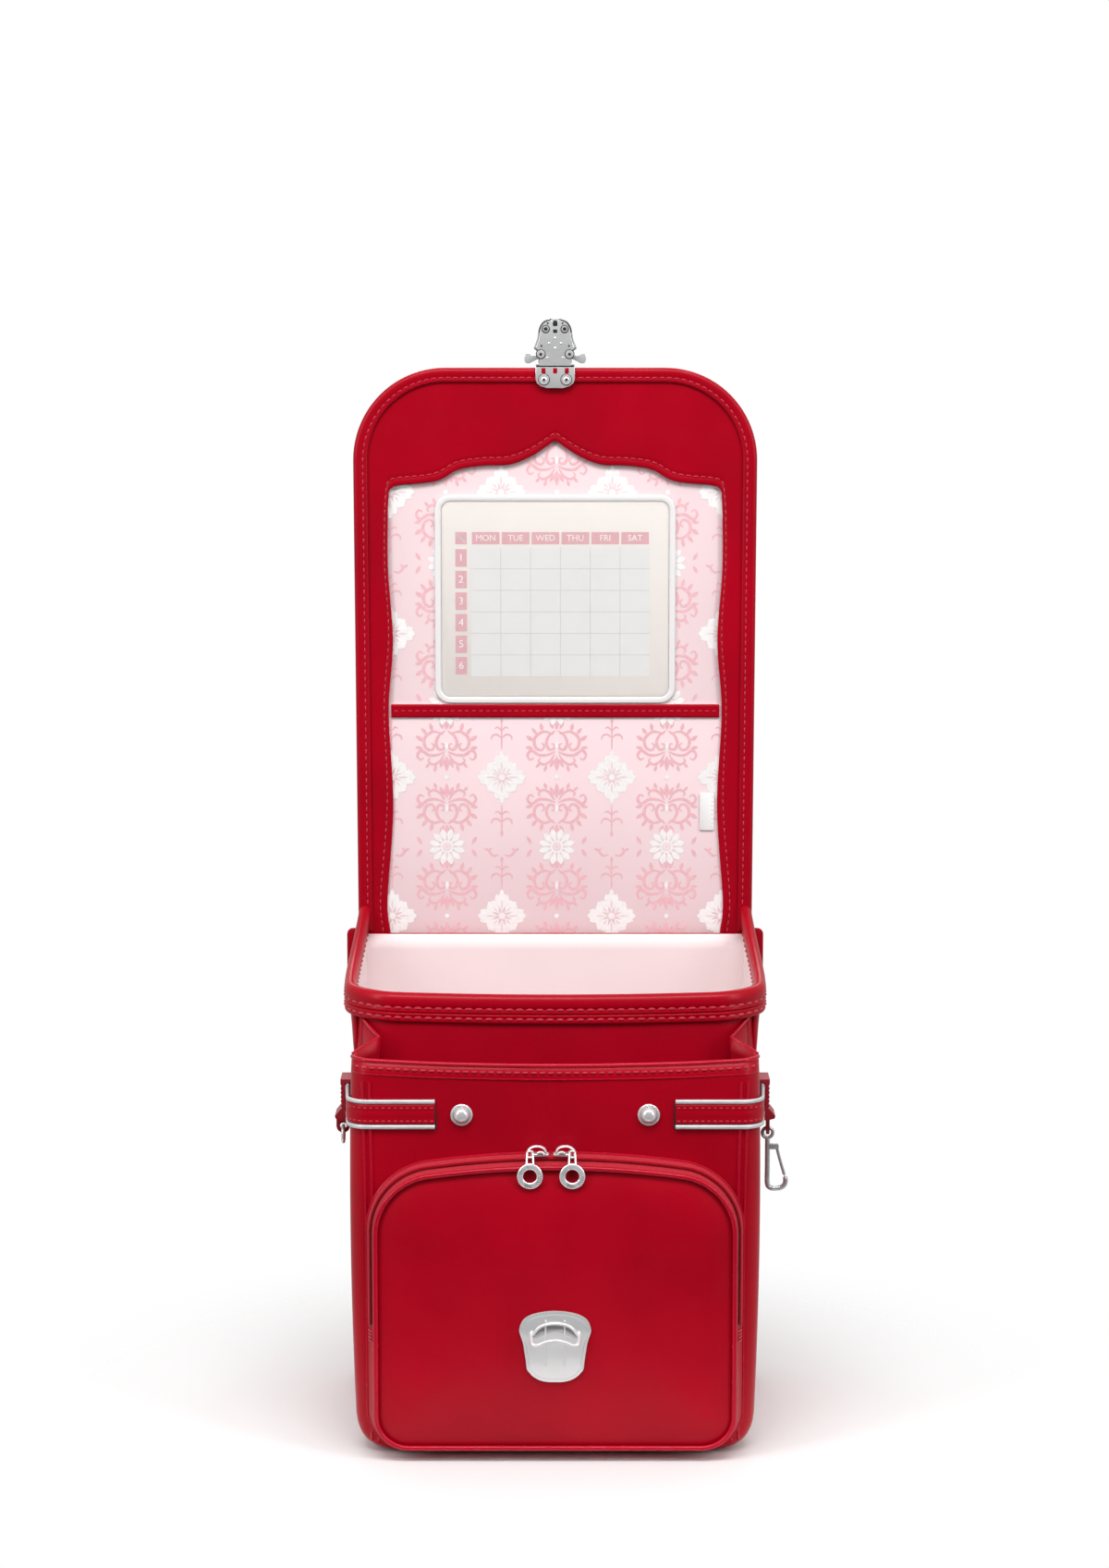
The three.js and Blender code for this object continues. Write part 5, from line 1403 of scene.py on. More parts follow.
CUT_SIDE = [(0.0, 0.983), (0.074, 1.0), (0.29, 0.962), (0.504, 0.986), (0.663, 0.958), (0.823, 0.985),
            (0.95, 0.984)]
CUT_CREST = [(0.977, 0.0), (0.93, 0.1), (0.7, 0.19), (0.567, 0.42), (0.41, 0.5), (0.268, 0.52),
             (0.133, 0.7), (0.0, 1.0)]


def cutout_run(bottom):
    rise = CUT_SHOULDER - BOARD_HEIGHT
    side = [(half * CUT_HALF, BOARD_HEIGHT + up * rise) for up, half in CUT_SIDE]
    crest = [(half * CUT_HALF, CUT_SHOULDER + up * (CUT_PEAK - CUT_SHOULDER)) for half, up in CUT_CREST]
    right = [(side[0][0], bottom)] + flat_curve(side, 70) + flat_curve(crest, 70)
    return right + [(-x, z) for x, z in right[:-1]][::-1]


def make_frame():
    count = 321
    outer = flat_resample(flap_run(-0.4, FLAP_ROOT + 0.4), count)
    inner = flat_resample(cutout_run(FLAP_ROOT + 0.4), count)
    profile = [(0.9, 1.35), (0.25, 1.2), (0.0, 0.75), (0.2, 0.3), (0.9, 0.02), (2.0, -0.1), (3.6, 0.05),
               (4.6, 0.42), (5.4, 0.42), (6.4, 0.08), (8.0, 0.0)]
    rows = []
    for distance, depth in profile:
        row = []
        for (ix, iz), (ox, oz) in zip(inner, outer):
            span = math.hypot(ox - ix, oz - iz)
            t = min(distance / span, 1.0)
            row.append((lerp(ix, ox, t), FRAME_FRONT + depth, lerp(iz, oz, t)))
        rows.append(row)
    for t in (0.3, 0.5, 0.7, 0.85, 1.0):
        row = []
        for (ix, iz), (ox, oz) in zip(inner, outer):
            span = math.hypot(ox - ix, oz - iz)
            share = lerp(min(8.0 / span, 1.0), 1.0, t)
            x, z = lerp(ix, ox, share), lerp(iz, oz, share)
            row.append((x, FRAME_FRONT + 0.15 + ripple(x, z, 0.16) * (1 - t), z))
        rows.append(row)
    rows.append([(x, FRAME_FRONT + 1.35, z) for x, z in outer])
    loft("flap_frame_leather", rows, RED_LEATHER, nodes=["flap_frame"], sharp=60)
    stitches = Heap()
    line = []
    for (ix, iz), (ox, oz) in zip(inner, outer):
        span = math.hypot(ox - ix, oz - iz)
        line.append((lerp(ix, ox, 5.0 / span), FRAME_FRONT + 0.2, lerp(iz, oz, 5.0 / span)))
    stitches.stitch(line, FORWARD, 4.6, 3.1, 0.42)
    stitches.build("cutout_stitches", RED_THREAD)


def make_flap_binding():
    front = FRAME_FRONT - CLEAR - 1.6
    back = CROWN_FRONT + 1.6
    section = [(-6.8, front + 1.3), (-6.9, front + 0.6), (-6.4, front + 0.15), (-5.4, front + 0.05),
               (-4.6, front + 0.4), (-3.8, front + 0.4), (-2.8, front), (-1.0, front - 0.1),
               (0.6, front + 0.1), (1.5, front + 0.9), (1.9, front + 2.2), (1.95, lerp(front, back, 0.5)),
               (1.9, back - 2.2), (1.5, back - 0.9), (0.6, back - 0.1), (-2.8, back), (-4.2, back - 0.4),
               (-5.4, back - 0.05), (-6.6, back - 0.2), (-6.9, back - 0.8), (-6.7, back - 1.3),
               (-0.6, back - 1.4), (0.3, back - 2.0), (0.3, front + 2.0), (-0.6, front + 1.4)]
    bottom = CROWN_TOP + CLEAR
    runs = [flap_run(grow, bottom) for grow, _ in section]
    rows = [[(runs[k][i][0], section[k][1], runs[k][i][1]) for k in range(len(section))]
            for i in range(len(runs[0]))]
    solid("flap_binding_leather", rows, RED_LEATHER, nodes=["flap_binding"])
    stitches = Heap()
    for y, out in ((front + 0.3, -1), (back - 0.3, 1)):
        line = [(x, y, z) for x, z in flap_run(-4.2, bottom + 2)]
        stitches.stitch(line, (0, out, 0), 4.6, 3.1, 0.42)
    stitches.build("flap_edge_stitches", RED_THREAD)


def sheet_outline(inset, bottom, top=None):
    if top is None:
        return flap_run(-inset, bottom, 12, 14, 8)
    low, high = flap_half(bottom) - inset, flap_half(top) - inset
    return [(low, bottom), (high, top), (-high, top), (-low, bottom)]


def make_linings():
    back = sheet_outline(3.2, FLAP_ROOT + 0.3)
    lining = slab("printed_lining", back, LINING_FRONT + 0.05, LINING_FRONT + 0.85, 0.2, PRINT_GROUND,
                  nodes=["flap_lining"])
    front = sheet_outline(3.2, FLAP_ROOT + 0.3, TRIM_HEIGHT + TRIM_BAND / 2 - 0.1)
    sheet = slab("pocket_sheet", front, SHEET_FRONT + 0.05, SHEET_FRONT + 0.85, 0.2, PRINT_GROUND,
                 nodes=["flap_pocket_sheet"])


# Printed pattern: a lattice of rosettes and scrolls of its own
class Print:
    """Flat marks on the sheets, gathered by colour."""

    def __init__(self, y, low, high, reach):
        self.y = y
        self.low = low
        self.high = high
        self.reach = reach
        self.marks = 0
        self.heaps = {"pink": Heap(), "white": Heap(), "ground": Heap()}

    def polygon(self, tone, outline, lift=0.0):
        if max(abs(u) for u, _ in outline) > self.reach:
            return
        clipped = clip_band(outline, self.low, self.high)
        if len(clipped) > 2:
            self.marks += 1
            y = self.y - 0.3 * lift - 0.0012 * (self.marks % 50)
            self.heaps[tone].add([(u, y, v) for u, v in clipped], [tuple(range(len(clipped)))])

    def stroke(self, tone, points, width, taper=0.25):
        line = curve_through([(u, 0, v) for u, v in points], max(len(points) * 4, 8))
        along = tangents(line)
        last = len(line) - 1
        sides = []
        for i, (p, t) in enumerate(zip(line, along)):
            fullness = math.sin(math.pi * min(max(i / last, 0.04), 0.96)) ** 0.6
            grow = width / 2 * (taper + (1 - taper) * fullness)
            sides.append(((p.x - t.z * grow, p.z + t.x * grow), (p.x + t.z * grow, p.z - t.x * grow)))
        for (a, b), (c, d) in zip(sides, sides[1:]):
            self.polygon(tone, [a, b, d, c])

    def disc(self, tone, u, v, radius, lift):
        self.polygon(tone, arc(u, v, radius, 0, 345, 23), lift)

    def leaf(self, tone, u, v, angle, length, width, lift=0.0, pointed=1.0):
        ca, sa = math.cos(angle), math.sin(angle)
        edge = [(length * t, width / 2 * math.sin(math.pi * t ** pointed))
                for t in (k / 16 for k in range(17))]
        outline = edge + [(a, -b) for a, b in edge[15:0:-1]]
        self.polygon(tone, [(u + ca * a - sa * b, v + sa * a + ca * b) for a, b in outline], lift)

    def build(self, name):
        for tone, material in (("pink", PRINT_PINK), ("white", PRINT_WHITE), ("ground", PRINT_GROUND)):
            if self.heaps[tone].points:
                self.heaps[tone].build(f"{name}_{tone}", material, slot="printed_lining")


def clip_band(outline, low, high):
    for edge, keep_above in ((low, True), (high, False)):
        kept = []
        for a, b in zip(outline, outline[1:] + outline[:1]):
            ina = a[1] >= edge if keep_above else a[1] <= edge
            inb = b[1] >= edge if keep_above else b[1] <= edge
            if ina:
                kept.append(a)
            if ina != inb:
                t = (edge - a[1]) / (b[1] - a[1])
                kept.append((lerp(a[0], b[0], t), edge))
        outline = kept
        if len(outline) < 3:
            return []
    return outline


def rosette(mark, u, v):
    """A square white flower with eight notched petals."""
    for k in range(8):
        angle = math.radians(45 * k + 90)
        length = 15.5 if k % 2 == 0 else 12.6
        mark.leaf("white", u + 2.2 * math.cos(angle), v + 2.2 * math.sin(angle), angle, length - 2, 7.4,
                  0.2, 1.3)
        for spread in (-0.3, 0.3):
            mark.leaf("white", u + 5 * math.cos(angle + spread * 0.5),
                      v + 5 * math.sin(angle + spread * 0.5), angle + spread, length - 5.8, 4.2, 0.2, 1.3)
        mark.leaf("ground", u + 3.6 * math.cos(angle), v + 3.6 * math.sin(angle), angle, length - 8.5, 1.1,
                  0.42)
    mark.disc("ground", u, v, 3.0, 0.42)
    mark.disc("white", u, v, 1.9, 0.64)


def daisy(mark, u, v):
    """A round white flower with twelve petals."""
    for k in range(12):
        angle = math.radians(30 * k + 15)
        mark.leaf("white", u + 2.6 * math.cos(angle), v + 2.6 * math.sin(angle), angle, 9.2, 4.0, 0.2, 1.5)
    mark.disc("white", u, v, 4.2, 0.2)
    mark.disc("ground", u, v, 2.7, 0.42)
    for k in range(7):
        angle = math.radians(51.4 * k)
        mark.disc("white", u + 1.5 * math.cos(angle), v + 1.5 * math.sin(angle), 0.42, 0.64)


def scroll_crown(mark, u, v, flip):
    """A fan of paired scrolls and leaves over a bud."""
    def stroke(points, side, width):
        mark.stroke("pink", [(u + side * a, v + flip * b) for a, b in points], width)

    def leaf(a, b, angle, side, size, wide):
        lean = math.radians(angle if side > 0 else 180 - angle)
        mark.leaf("pink", u + side * a, v + flip * b, lean * flip, size, wide)

    for side in (-1, 1):
        stroke([(0.8, -10), (4.8, -7.0), (6.6, -2.4), (4.9, 1.8), (1.9, 1.4), (1.9, -1.4), (3.6, -1.6)],
               side, 1.9)
        stroke([(2.0, -8.0), (8.6, -9.4), (14.0, -5.2), (13.4, 0.6), (9.6, 2.4), (7.9, -0.4), (9.6, -2.2)],
               side, 2.0)
        stroke([(1.0, 3.4), (6.0, 5.4), (11.5, 5.4), (16.0, 2.6), (18.6, 5.6), (16.8, 8.6), (14.6, 7.2)],
               side, 1.9)
        stroke([(1.4, 5.0), (4.2, 9.4), (8.4, 11.6), (11.6, 9.4), (10.4, 7.4)], side, 1.7)
        for a, b, angle, size, wide in ((14.6, -3.4, -35, 6.0, 2.6), (9.0, -9.6, -75, 5.6, 2.4),
                                        (12.4, -7.4, -52, 5.8, 2.2), (15.0, 1.2, -8, 5.0, 2.2),
                                        (6.4, 12.0, 70, 4.6, 2.0), (10.6, 10.6, 48, 4.2, 1.8)):
            leaf(a, b, angle, side, size, wide)
        leaf(1.4, 8.0, 62, side, 6.4, 2.2)
        leaf(1.8, -11.0, -60, side, 5.6, 2.0)
    mark.leaf("pink", u, v + flip * 6.0, math.radians(90) * flip, 10.0, 3.0)
    mark.leaf("pink", u, v - flip * 10.4, math.radians(-90) * flip, 8.4, 3.0)
    mark.leaf("white", u, v - flip * 3.2, math.radians(90) * flip, 6.0, 2.4, 0.22)


def sprig(mark, u, v, flip):
    """A thin upright sprig with two pairs of curled leaves."""
    mark.stroke("pink", [(u, v - 9), (u, v - 3), (u, v + 3), (u, v + 9)], 0.9, 0.6)
    mark.leaf("pink", u, v + 7 * flip, math.radians(90) * flip, 4.6, 1.9)
    for side in (-1, 1):
        mark.stroke("pink", [(u, v - 2), (u + side * 3, v + 0.4), (u + side * 6, v - 0.6),
                             (u + side * 6.6, v - 3)], 1.2)
        mark.stroke("pink", [(u, v + 2.6), (u + side * 2.4, v + 5), (u + side * 4.4, v + 4.2)], 1.0)
    mark.disc("white", u, v - 11.5 * flip, 1.3, 0.22)


def small_pair(mark, u, v):
    for side in (-1, 1):
        mark.stroke("pink", [(u + side * 2.0, v - 1.5), (u + side * 5.5, v - 2.0),
                             (u + side * 8.0, v + 1.0), (u + side * 6.4, v + 3.0)], 1.5)
        mark.leaf("pink", u + side * 8.0, v + 1.0, math.radians(30 if side > 0 else 150), 3.6, 1.5)


def print_field(mark, phase_u, phase_v, low, high):
    """Rosettes and daisies alternate on a half-dropped lattice with scrolls between them."""
    pitch_u, pitch_v = 70.0, 89.5
    for i in range(-3, 4):
        for j in range(-6, 7):
            u, v = phase_u + i * pitch_u, phase_v + j * pitch_v
            if low - 30 < v < high + 30:
                rosette(mark, u, v)
                sprig(mark, u, v + 27, 1)
                sprig(mark, u, v - 27, -1)
                small_pair(mark, u, v + 41)
            u2, v2 = u + pitch_u / 2, v + pitch_v / 2
            if low - 40 < v2 < high + 40:
                daisy(mark, u2, v2)
                scroll_crown(mark, u2, v2 + 25, 1)
                scroll_crown(mark, u2, v2 - 25, -1)
                mark.disc("white", u2, v2 + pitch_v / 2, 1.5, 0.22)
                for side in (-1, 1):
                    for up in (1, -1):
                        angle = math.radians(up * (60 if side > 0 else 120))
                        mark.leaf("pink", u2 + side * 16, v2 + up * 1.5, angle, 6.0, 2.2)


def make_print():
    upper = Print(LINING_FRONT - 0.02, TRIM_HEIGHT - 2, 616.0, 119.0)
    print_field(upper, 36.0, 572.0, TRIM_HEIGHT, 616.0)
    upper.build("lining_print")
    lower = Print(SHEET_FRONT - 0.02, FLAP_ROOT + 2, TRIM_HEIGHT + 2, 119.0)
    print_field(lower, 36.0, 391.0, FLAP_ROOT, TRIM_HEIGHT)
    lower.build("sheet_print")


def make_trim_and_tag():
    half = CUT_HALF * 0.972
    low, high = TRIM_HEIGHT - TRIM_BAND / 2, TRIM_HEIGHT + TRIM_BAND / 2
    section = [(low, 1.2), (low + 0.1, 0.5), (low + 0.7, 0.1), (low + 1.6, 0.0), (TRIM_HEIGHT - 0.6, 0.25),
               (TRIM_HEIGHT + 0.6, 0.25), (high - 1.6, 0.0), (high - 0.7, 0.1), (high - 0.1, 0.5),
               (high, 1.2)]
    rows = [[(lerp(-half, half, i / 40), FRAME_FRONT + d, z) for z, d in section] for i in range(41)]
    solid("trim_leather", rows, RED_LEATHER, nodes=["pocket_trim"])
    stitches = Heap()
    run = [(-half + 1, FRAME_FRONT + 0.25, TRIM_HEIGHT), (half - 1, FRAME_FRONT + 0.25, TRIM_HEIGHT)]
    stitches.stitch(run, FORWARD, 4.4, 3.0, 0.4)
    stitches.build("trim_stitches", RED_THREAD)
    outline = rounded_rectangle(92, 101, 357, 381, 0.5, 3)
    slab("bare_tag", outline, SHEET_FRONT - 1.0, SHEET_FRONT - 0.35, 0.15, TAG_CLOTH, nodes=["label_tag"])
    marks = Heap()
    line = [(99.8, SHEET_FRONT - 1.0, 358), (99.8, SHEET_FRONT - 1.0, 380)]
    marks.stitch(line, FORWARD, 2.6, 1.7, 0.25)
    marks.build("tag_stitches", TAG_CLOTH)


def make_card():
    back = LINING_FRONT - CLEAR
    outline = rounded_rectangle(-CARD_HALF, CARD_HALF, CARD_BOTTOM, CARD_TOP, CARD_CORNER, 8)
    inner = inset_outline(outline, CARD_RIM)
    rim = []
    for line, y in ((outline, back), (outline, back - 1.0), (inset_outline(outline, 0.5), back - 1.6),
                    (inset_outline(outline, 2.0), back - 1.8), (inset_outline(outline, 3.4), back - 1.6),
                    (inner, back - 1.2), (inner, back - 0.8)):
        rim.append([(u, y, v) for u, v in line])
    loft("timetable_rim", rim, VINYL_RIM, around=True, nodes=["timetable_pocket"])
    window = inset_outline(outline, 1.5)
    slab("timetable_window", window, back - 1.62, back - 1.25, 0.1, VINYL_WINDOW)
    card = inset_outline(outline, CARD_RIM + 0.3)
    slab("timetable_sheet", card, back - 0.68, back - 0.02, 0.15, CARD_MARGIN, nodes=["timetable_card"])
    make_grid(back - 0.74)


def make_grid(y):
    paper_heap, cells, lines = Heap(), Heap(), Heap()
    left, column, first, right = -63.0, -55.8, -53.2, 59.8
    top, head, start, bottom = 546.9, 539.2, 537.4, 455.4
    wide = (right - first) / 6
    tall = (start - bottom) / 6

    def patch(heap, x0, x1, z0, z1, lift):
        heap.add([(x0, y - lift, z0), (x1, y - lift, z0), (x1, y - lift, z1), (x0, y - lift, z1)],
                 [(0, 1, 2, 3)])

    patch(paper_heap, first, right, bottom, start, 0.0)
    patch(cells, left, column, head, top, 0.03)
    slant = [(left + 0.6, top - 1.2), (left + 1.2, top - 0.6), (column - 0.6, head + 1.2),
             (column - 1.2, head + 0.6)]
    lines.add([(u, y - 0.06, v) for u, v in slant], [(0, 1, 2, 3)])
    for k in range(6):
        patch(cells, first + k * wide + 0.7, first + (k + 1) * wide - 0.7, head, top, 0.03)
        patch(cells, left, column, start - (k + 1) * tall + 1.3, start - k * tall - 1.3, 0.03)
    for k in range(1, 6):
        patch(lines, first + k * wide - 0.18, first + k * wide + 0.18, bottom, start, 0.05)
        patch(lines, first, right, bottom + k * tall - 0.18, bottom + k * tall + 0.18, 0.05)
    paper_heap.build("card_field", CARD_PAPER)
    cells.build("card_cells", CARD_PINK)
    lines.build("card_lines", CARD_LINE)
    words = Heap()
    for k, word in enumerate(("MON", "TUE", "WED", "THU", "FRI", "SAT")):
        lettering(words, word, first + (k + 0.5) * wide, (head + top) / 2, 5.4, y - 0.08)
        lettering(words, str(k + 1), (left + column) / 2, start - (k + 0.5) * tall, 6.6, y - 0.08)
    words.build("card_letters", CARD_WORDS)


def lettering(heap, word, u, v, size, y):
    """Plain generic letters as flat shapes, centred on a point."""
    curve = bpy.data.curves.new("letters", "FONT")
    curve.body = word
    curve.size = size
    curve.align_x = "CENTER"
    curve.align_y = "CENTER"
    curve.resolution_u = 3
    holder = bpy.data.objects.new("letters", curve)
    bpy.context.scene.collection.objects.link(holder)
    bpy.context.view_layer.update()
    shape = holder.evaluated_get(bpy.context.evaluated_depsgraph_get()).to_mesh()
    points = [(u + p.co.x, y, v + p.co.y) for p in shape.vertices]
    faces = [tuple(f.vertices) for f in shape.polygons]
    heap.add(points, faces)
    bpy.data.objects.remove(holder)
    bpy.data.curves.remove(curve)


# Back of the bag
def make_back():
    corner = BASE_CORNER
    outline = arc(-BASE_HALF + corner, corner, corner, 180, 270, 10)
    outline += arc(BASE_HALF - corner, corner, corner, 270, 360, 10)
    outline += [(RIM_HALF, 260.0), (RIM_HALF, BOARD_HEIGHT), (-RIM_HALF, BOARD_HEIGHT), (-RIM_HALF, 260.0)]
    slab("back_board_leather", outline, BOARD_FRONT, BOARD_FRONT + 3.2, 1.1, RED_LEATHER,
         nodes=["back_panel"])
    crown = rounded_rectangle(-CROWN_HALF, CROWN_HALF, CROWN_BOTTOM, CROWN_TOP, 4.0)
    slab("crown_band_leather", crown, CROWN_FRONT, CROWN_FRONT + 3.0, 1.0, RED_LEATHER,
         nodes=["crown_band"])
    outer = flap_run(-0.3, FLAP_ROOT + 0.3)
    slab("flap_back_leather", outer, FLAP_FRONT + 0.1, FLAP_FRONT + WALL, 0.5, RED_LEATHER,
         nodes=["flap_outer"])
    stitches = Heap()
    back = CROWN_FRONT + 2.95
    for inset in (3.5, 7.5):
        path = rounded_rectangle(-CROWN_HALF + inset, CROWN_HALF - inset, CROWN_BOTTOM + inset,
                                 CROWN_TOP - inset, 3)
        line = [(x, back, z) for x, z in path]
        stitches.stitch(line + line[:1], BACKWARD, 5.0, 3.4, 0.5)
    path = [(-118, 246), (-117, 40)] + arc(-BASE_HALF + corner, corner, corner - 4, 180, 270, 8)
    path += arc(BASE_HALF - corner, corner, corner - 4, 270, 360, 8) + [(117, 40), (118, 246)]
    stitches.stitch([(x, BOARD_FRONT + 3.15, z) for x, z in path], BACKWARD, 5.0, 3.4, 0.5)
    stitches.build("back_stitches", RED_THREAD)
    make_flap_back_ridges()
    make_pad()
    make_fittings()


def make_flap_back_ridges():
    heap = Heap()
    line = [(x, FLAP_FRONT + WALL, z) for x, z in flap_run(-18.0, CROWN_TOP + 6)]
    heap.tube(resample(line, 200), 0.8)
    heap.build("flap_back_ridge", RED_PIPING)


def pad_height(u, v, half_u, half_v):
    """Height of the pad's back face: crowned, pulled in at its edge, with sewn channels."""
    edge_u = max(half_u - abs(u), 0.0)
    edge_v = max(half_v - abs(v), 0.0)
    near = min(edge_u, edge_v)
    rise = math.sqrt(max(1 - (1 - min(near / 9.0, 1.0)) ** 2, 0.0))
    height = 9.8 * rise
    for centre, width in ((0.0, 7.0), (-58.0, 4.0), (58.0, 4.0)):
        height -= 3.6 * rise * math.exp(-((u - centre) / width) ** 2)
    for level in (-66, -22, 22, 66):
        if 8 < abs(u) < 90:
            height -= 2.2 * rise * math.exp(-((v - level - 0.06 * abs(u)) / 3.0) ** 2)
    return max(height, 0.3)


def make_pad():
    half_u, low, high = 98.0, 12.0, CROWN_BOTTOM - CLEAR
    half_v, middle = (high - low) / 2, (high + low) / 2
    front = BOARD_FRONT + 3.2 + CLEAR
    rows = []
    steps_u, steps_v = 98, 118
    for j in range(steps_v + 1):
        v = lerp(-half_v, half_v, j / steps_v)
        shrink = half_u
        corner = 18.0
        if half_v - abs(v) < corner:
            gap = corner - (half_v - abs(v))
            shrink = half_u - corner + math.sqrt(max(corner ** 2 - gap ** 2, 0.0))
        row = []
        for i in range(steps_u + 1):
            u = lerp(-shrink, shrink, i / steps_u)
            row.append((u, front + 0.3 + pad_height(u * half_u / shrink, v, half_u, half_v), middle + v))
        rows.append(row)
    count = len(rows[0])
    points = [p for row in rows for p in row]
    faces = loft_faces(rows)
    start = len(points)
    last = len(rows) - 1
    ring = [(0, i) for i in range(count)] + [(j, count - 1) for j in range(1, last + 1)]
    ring += [(last, i) for i in range(count - 2, -1, -1)] + [(j, 0) for j in range(last - 1, 0, -1)]
    points += [(rows[j][i][0], front, rows[j][i][2]) for j, i in ring]
    for k in range(len(ring)):
        n = (k + 1) % len(ring)
        a = ring[k][0] * count + ring[k][1]
        b = ring[n][0] * count + ring[n][1]
        faces.append((a, b, start + n, start + k))
    faces.append(tuple(start + k for k in range(len(ring))))
    pad = make_object("back_pad_cushion", points, faces, PAD_LEATHER, nodes=["back_pad"], sharp=70)


STRAP_ROUTE = [(0, 0), (0.08, 0), (0.36, -0.04), (0.72, 0.03), (0.95, 0.25), (1, 0.5), (0.86, 0.78),
               (0.62, 1)]


def strap_points(side):
    top_y, top_z, end, reach = 96.2, 258.75, 84.0, 150.0
    drop = top_z - end
    return [(side * (46 + 15 * max(down, 0)), top_y + out * reach, top_z - down * drop)
            for out, down in STRAP_ROUTE]


def strap_frames(points, count):
    line = curve_through(points, count)
    frames = []
    for p, t in zip(line, tangents(line)):
        across = Vector((1, 0, 0))
        across = (across - t * across.dot(t)).normalized()
        frames.append((p, across, across.cross(t).normalized()))
    return frames


def strap_piece(name, points, width, thick, material, count, nodes, slot, puff=0.0, ends=0.03):
    rows = []
    frames = strap_frames(points, count)
    for k, (p, across, out) in enumerate(frames):
        t = k / (count - 1)
        tip = math.sqrt(max(1 - (1 - min(min(t, 1 - t) / ends, 1)) ** 2, 0.12))
        row = []
        for a in turn(28):
            cu, sv = math.cos(a), math.sin(a)
            u = math.copysign(abs(cu) ** 0.42, cu) * width / 2 * lerp(0.9, 1.0, tip)
            w = math.copysign(abs(sv) ** 0.8, sv) * thick / 2 * tip
            w += puff * (1 - (u / (width / 2)) ** 2) * tip * (1 if sv > 0 else -1) * 0.5
            row.append(p + across * u + out * w)
        rows.append(row)
    return solid(name, rows, material, nodes=nodes, slot=slot, sharp=60), frames


def make_fittings():
    beveled_copy("strap_bracket", "bracket_moulding", RED_MOULD, 1.2, segments=3)
    screws = Heap()
    for x in (-34, -12, 12, 34):
        screws.turned([(3.4, 0.1), (3.4, -0.7), (2.6, -1.2), (0.2, -1.4)], x, 95.9, 276, 24)
    screws.build("bracket_rivets", SILVER)
    make_handle()
    for side, name in ((-1, "left"), (1, "right")):
        strap, frames = strap_piece(f"shoulder_pad_{name}", strap_points(side), 43.0, 6.6, RED_LEATHER, 90,
                                    [f"shoulder_strap_{name}"], "red_leather", puff=1.2)
        stitches = Heap()
        for edge in (-1, 1):
            for face in (-1, 1):
                line = [p + across * edge * 17.6 + out * face * 3.25 for p, across, out in frames[3:-3]]
                table = [f[2] * face for f in frames[3:-3]]
                stitches.stitch(line, lambda p, t, n=table: n[min(int(t * len(n)), len(n) - 1)], 5.0, 3.4,
                                0.5)
        stitches.build(f"strap_stitches_{name}", RED_THREAD)
        make_lower(side, name)


def make_handle():
    ends, half, rise = 269.75, 38.0, 34.0
    path = [(x, 103.2, ends + (z - ends) * rise / half) for x, z in arc(0, ends, half, 0, 180, 36)]
    rows = []
    line = [Vector(p) for p in path]
    for k, (p, t) in enumerate(zip(line, tangents(line))):
        out = Vector((-t.z, 0, t.x))
        tip = round_end(k / 36, 0.04)
        row = []
        for a in turn(20):
            u = math.copysign(abs(math.cos(a)) ** 0.5, math.cos(a)) * 6.8
            w = math.copysign(abs(math.sin(a)) ** 0.9, math.sin(a)) * 2.2 * tip
            row.append(p + Vector((0, 1, 0)) * u + out * w)
        rows.append(row)
    solid("handle_leather", rows, RED_LEATHER, nodes=["carry_handle"])


STRAP_LOOP = [(194.0, 93.5), (189.8, 87.0), (187.2, 82.6), (187.4, 79.6), (189.6, 78.9), (191.6, 80.6),
              (192.4, 85.0), (196.5, 91.5)]
WEBBING_LOOP = [(181.5, 65.0), (185.5, 67.8), (187.6, 71.2), (189.6, 72.2), (191.2, 70.4), (190.6, 67.6),
                (187.5, 65.2), (181.5, 63.1)]
RING_KEEPER = [(83.6, 54.0), (84.0, 47.0), (85.2, 43.4), (86.6, 41.4), (86.8, 39.4), (85.4, 38.2),
               (83.9, 38.4)]


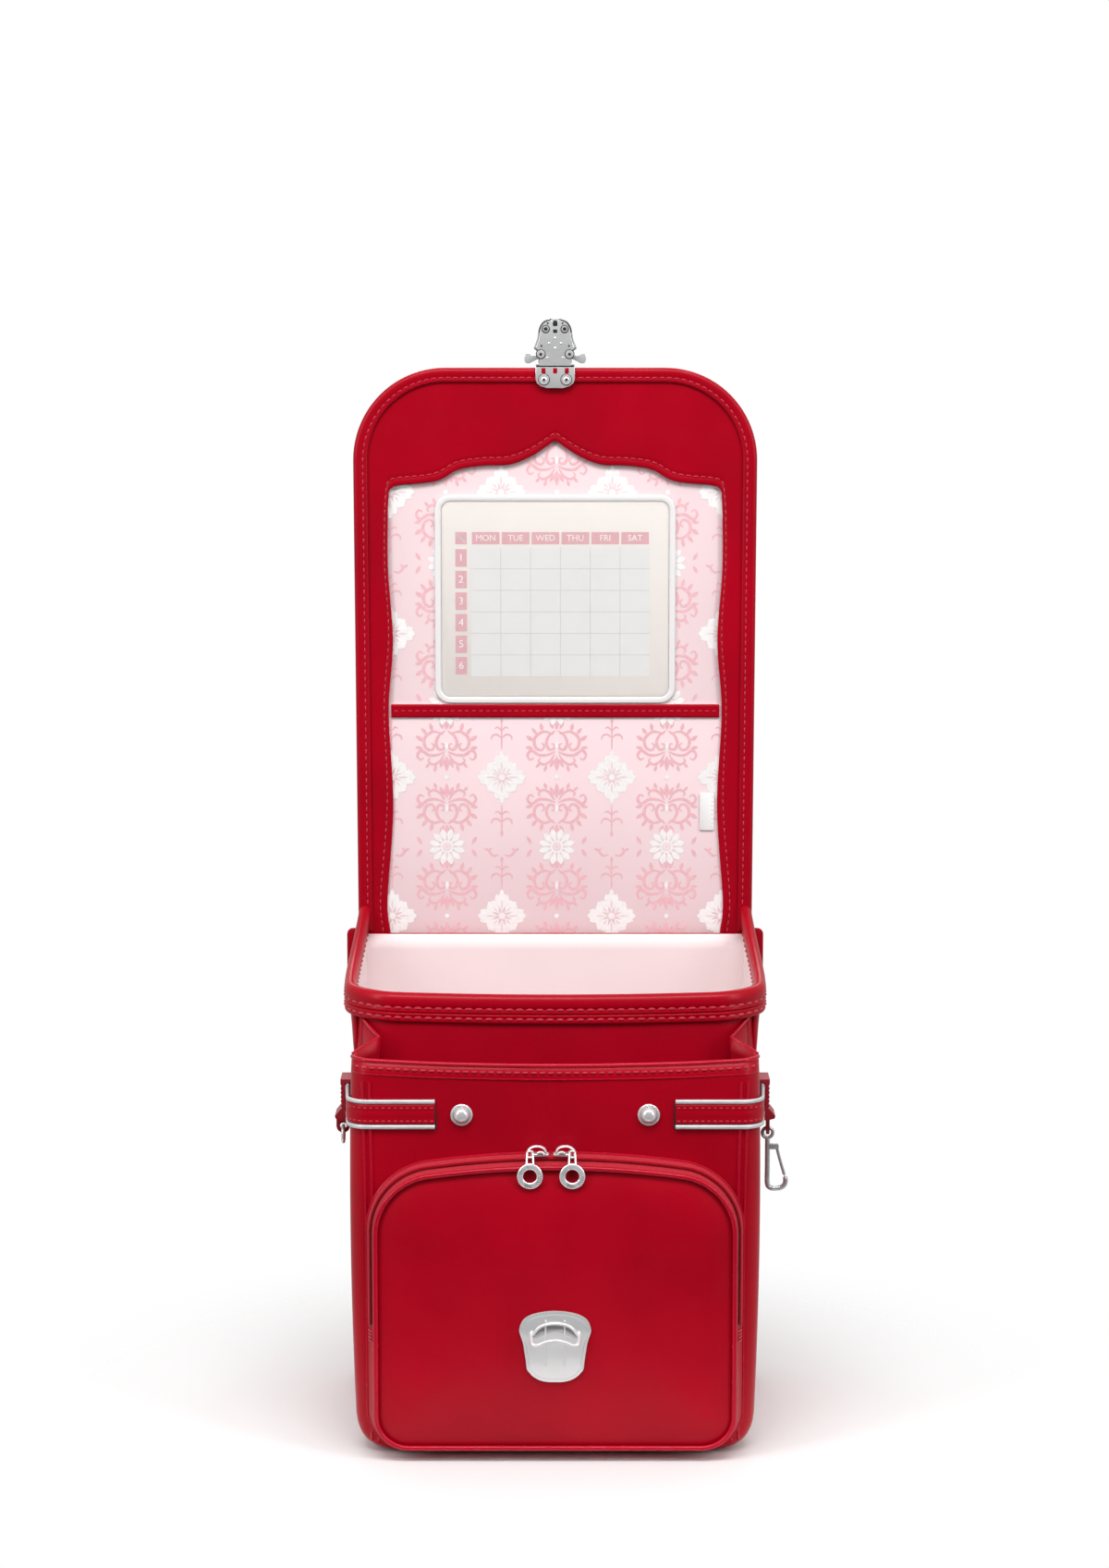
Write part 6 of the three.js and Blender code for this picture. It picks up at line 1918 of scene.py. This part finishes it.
def make_loops(side, name):
    """Folds of webbing that hold the buckle and the D-ring."""
    heap = Heap()
    for x, half, run in ((BUCKLE_X, 10.5, STRAP_LOOP), (BUCKLE_X, 10.5, WEBBING_LOOP),
                         (D_RING_X, 9.5, RING_KEEPER)):
        line = curve_through([(side * x, y, z) for y, z in run], 6 * len(run))
        rows = []
        for p, t in zip(line, tangents(line)):
            out = Vector((1, 0, 0)).cross(t).normalized() * 0.6
            wide = Vector((half, 0, 0))
            rows.append([p - wide - out, p + wide - out, p + wide + out, p - wide + out])
        heap.rows(rows, around=True, caps=True)
    heap.build(f"strap_loops_{name}", RED_LEATHER)


def make_lower(side, name):
    make_loops(side, name)
    points = [(side * BUCKLE_X, 187.2, 67.0), (side * 83.0, 158.0, 52.0), (side * 110.5, 111.5, 36.5),
              (side * D_RING_X, 91.5, 34.0), (side * D_RING_X, 85.0, 34.0)]
    strap_piece(f"lower_webbing_{name}", points, 22.0, 2.6, RED_LEATHER, 50, [f"lower_strap_{name}"],
                "red_leather", ends=0.02)
    beveled_copy(f"strap_buckle_{name}", f"buckle_frame_{name}", SILVER, 0.45, segments=3)
    beveled_copy(f"d_ring_{name}", f"d_ring_frame_{name}", SILVER, 0.45, segments=3)
    beveled_copy(f"lower_tab_{name}", f"tab_leather_{name}", RED_LEATHER, 0.8, segments=3)
    stitches = Heap()
    outline = rounded_rectangle(side * D_RING_X - 11, side * D_RING_X + 11, 8, 60, 3)
    line = [(x, 83.75, z) for x, z in outline]
    stitches.stitch(line + line[:1], BACKWARD, 4.6, 3.1, 0.42)
    stitches.build(f"tab_stitches_{name}", RED_THREAD)


# Assembly
make_camera()
make_studio()
make_floor(floor_paint())
make_main_body()
make_rim()
make_main_lining()
make_second()
make_pocket()
for SIDE, NAME in ((-1, "left"), (1, "right")):
    make_slider(SIDE, NAME)
    make_pull(SIDE, NAME)
make_studs()
make_striker()
make_lock()
make_bands()
make_side_fittings()
make_frame()
make_flap_binding()
make_linings()
make_print()
make_trim_and_tag()
make_card()
make_back()
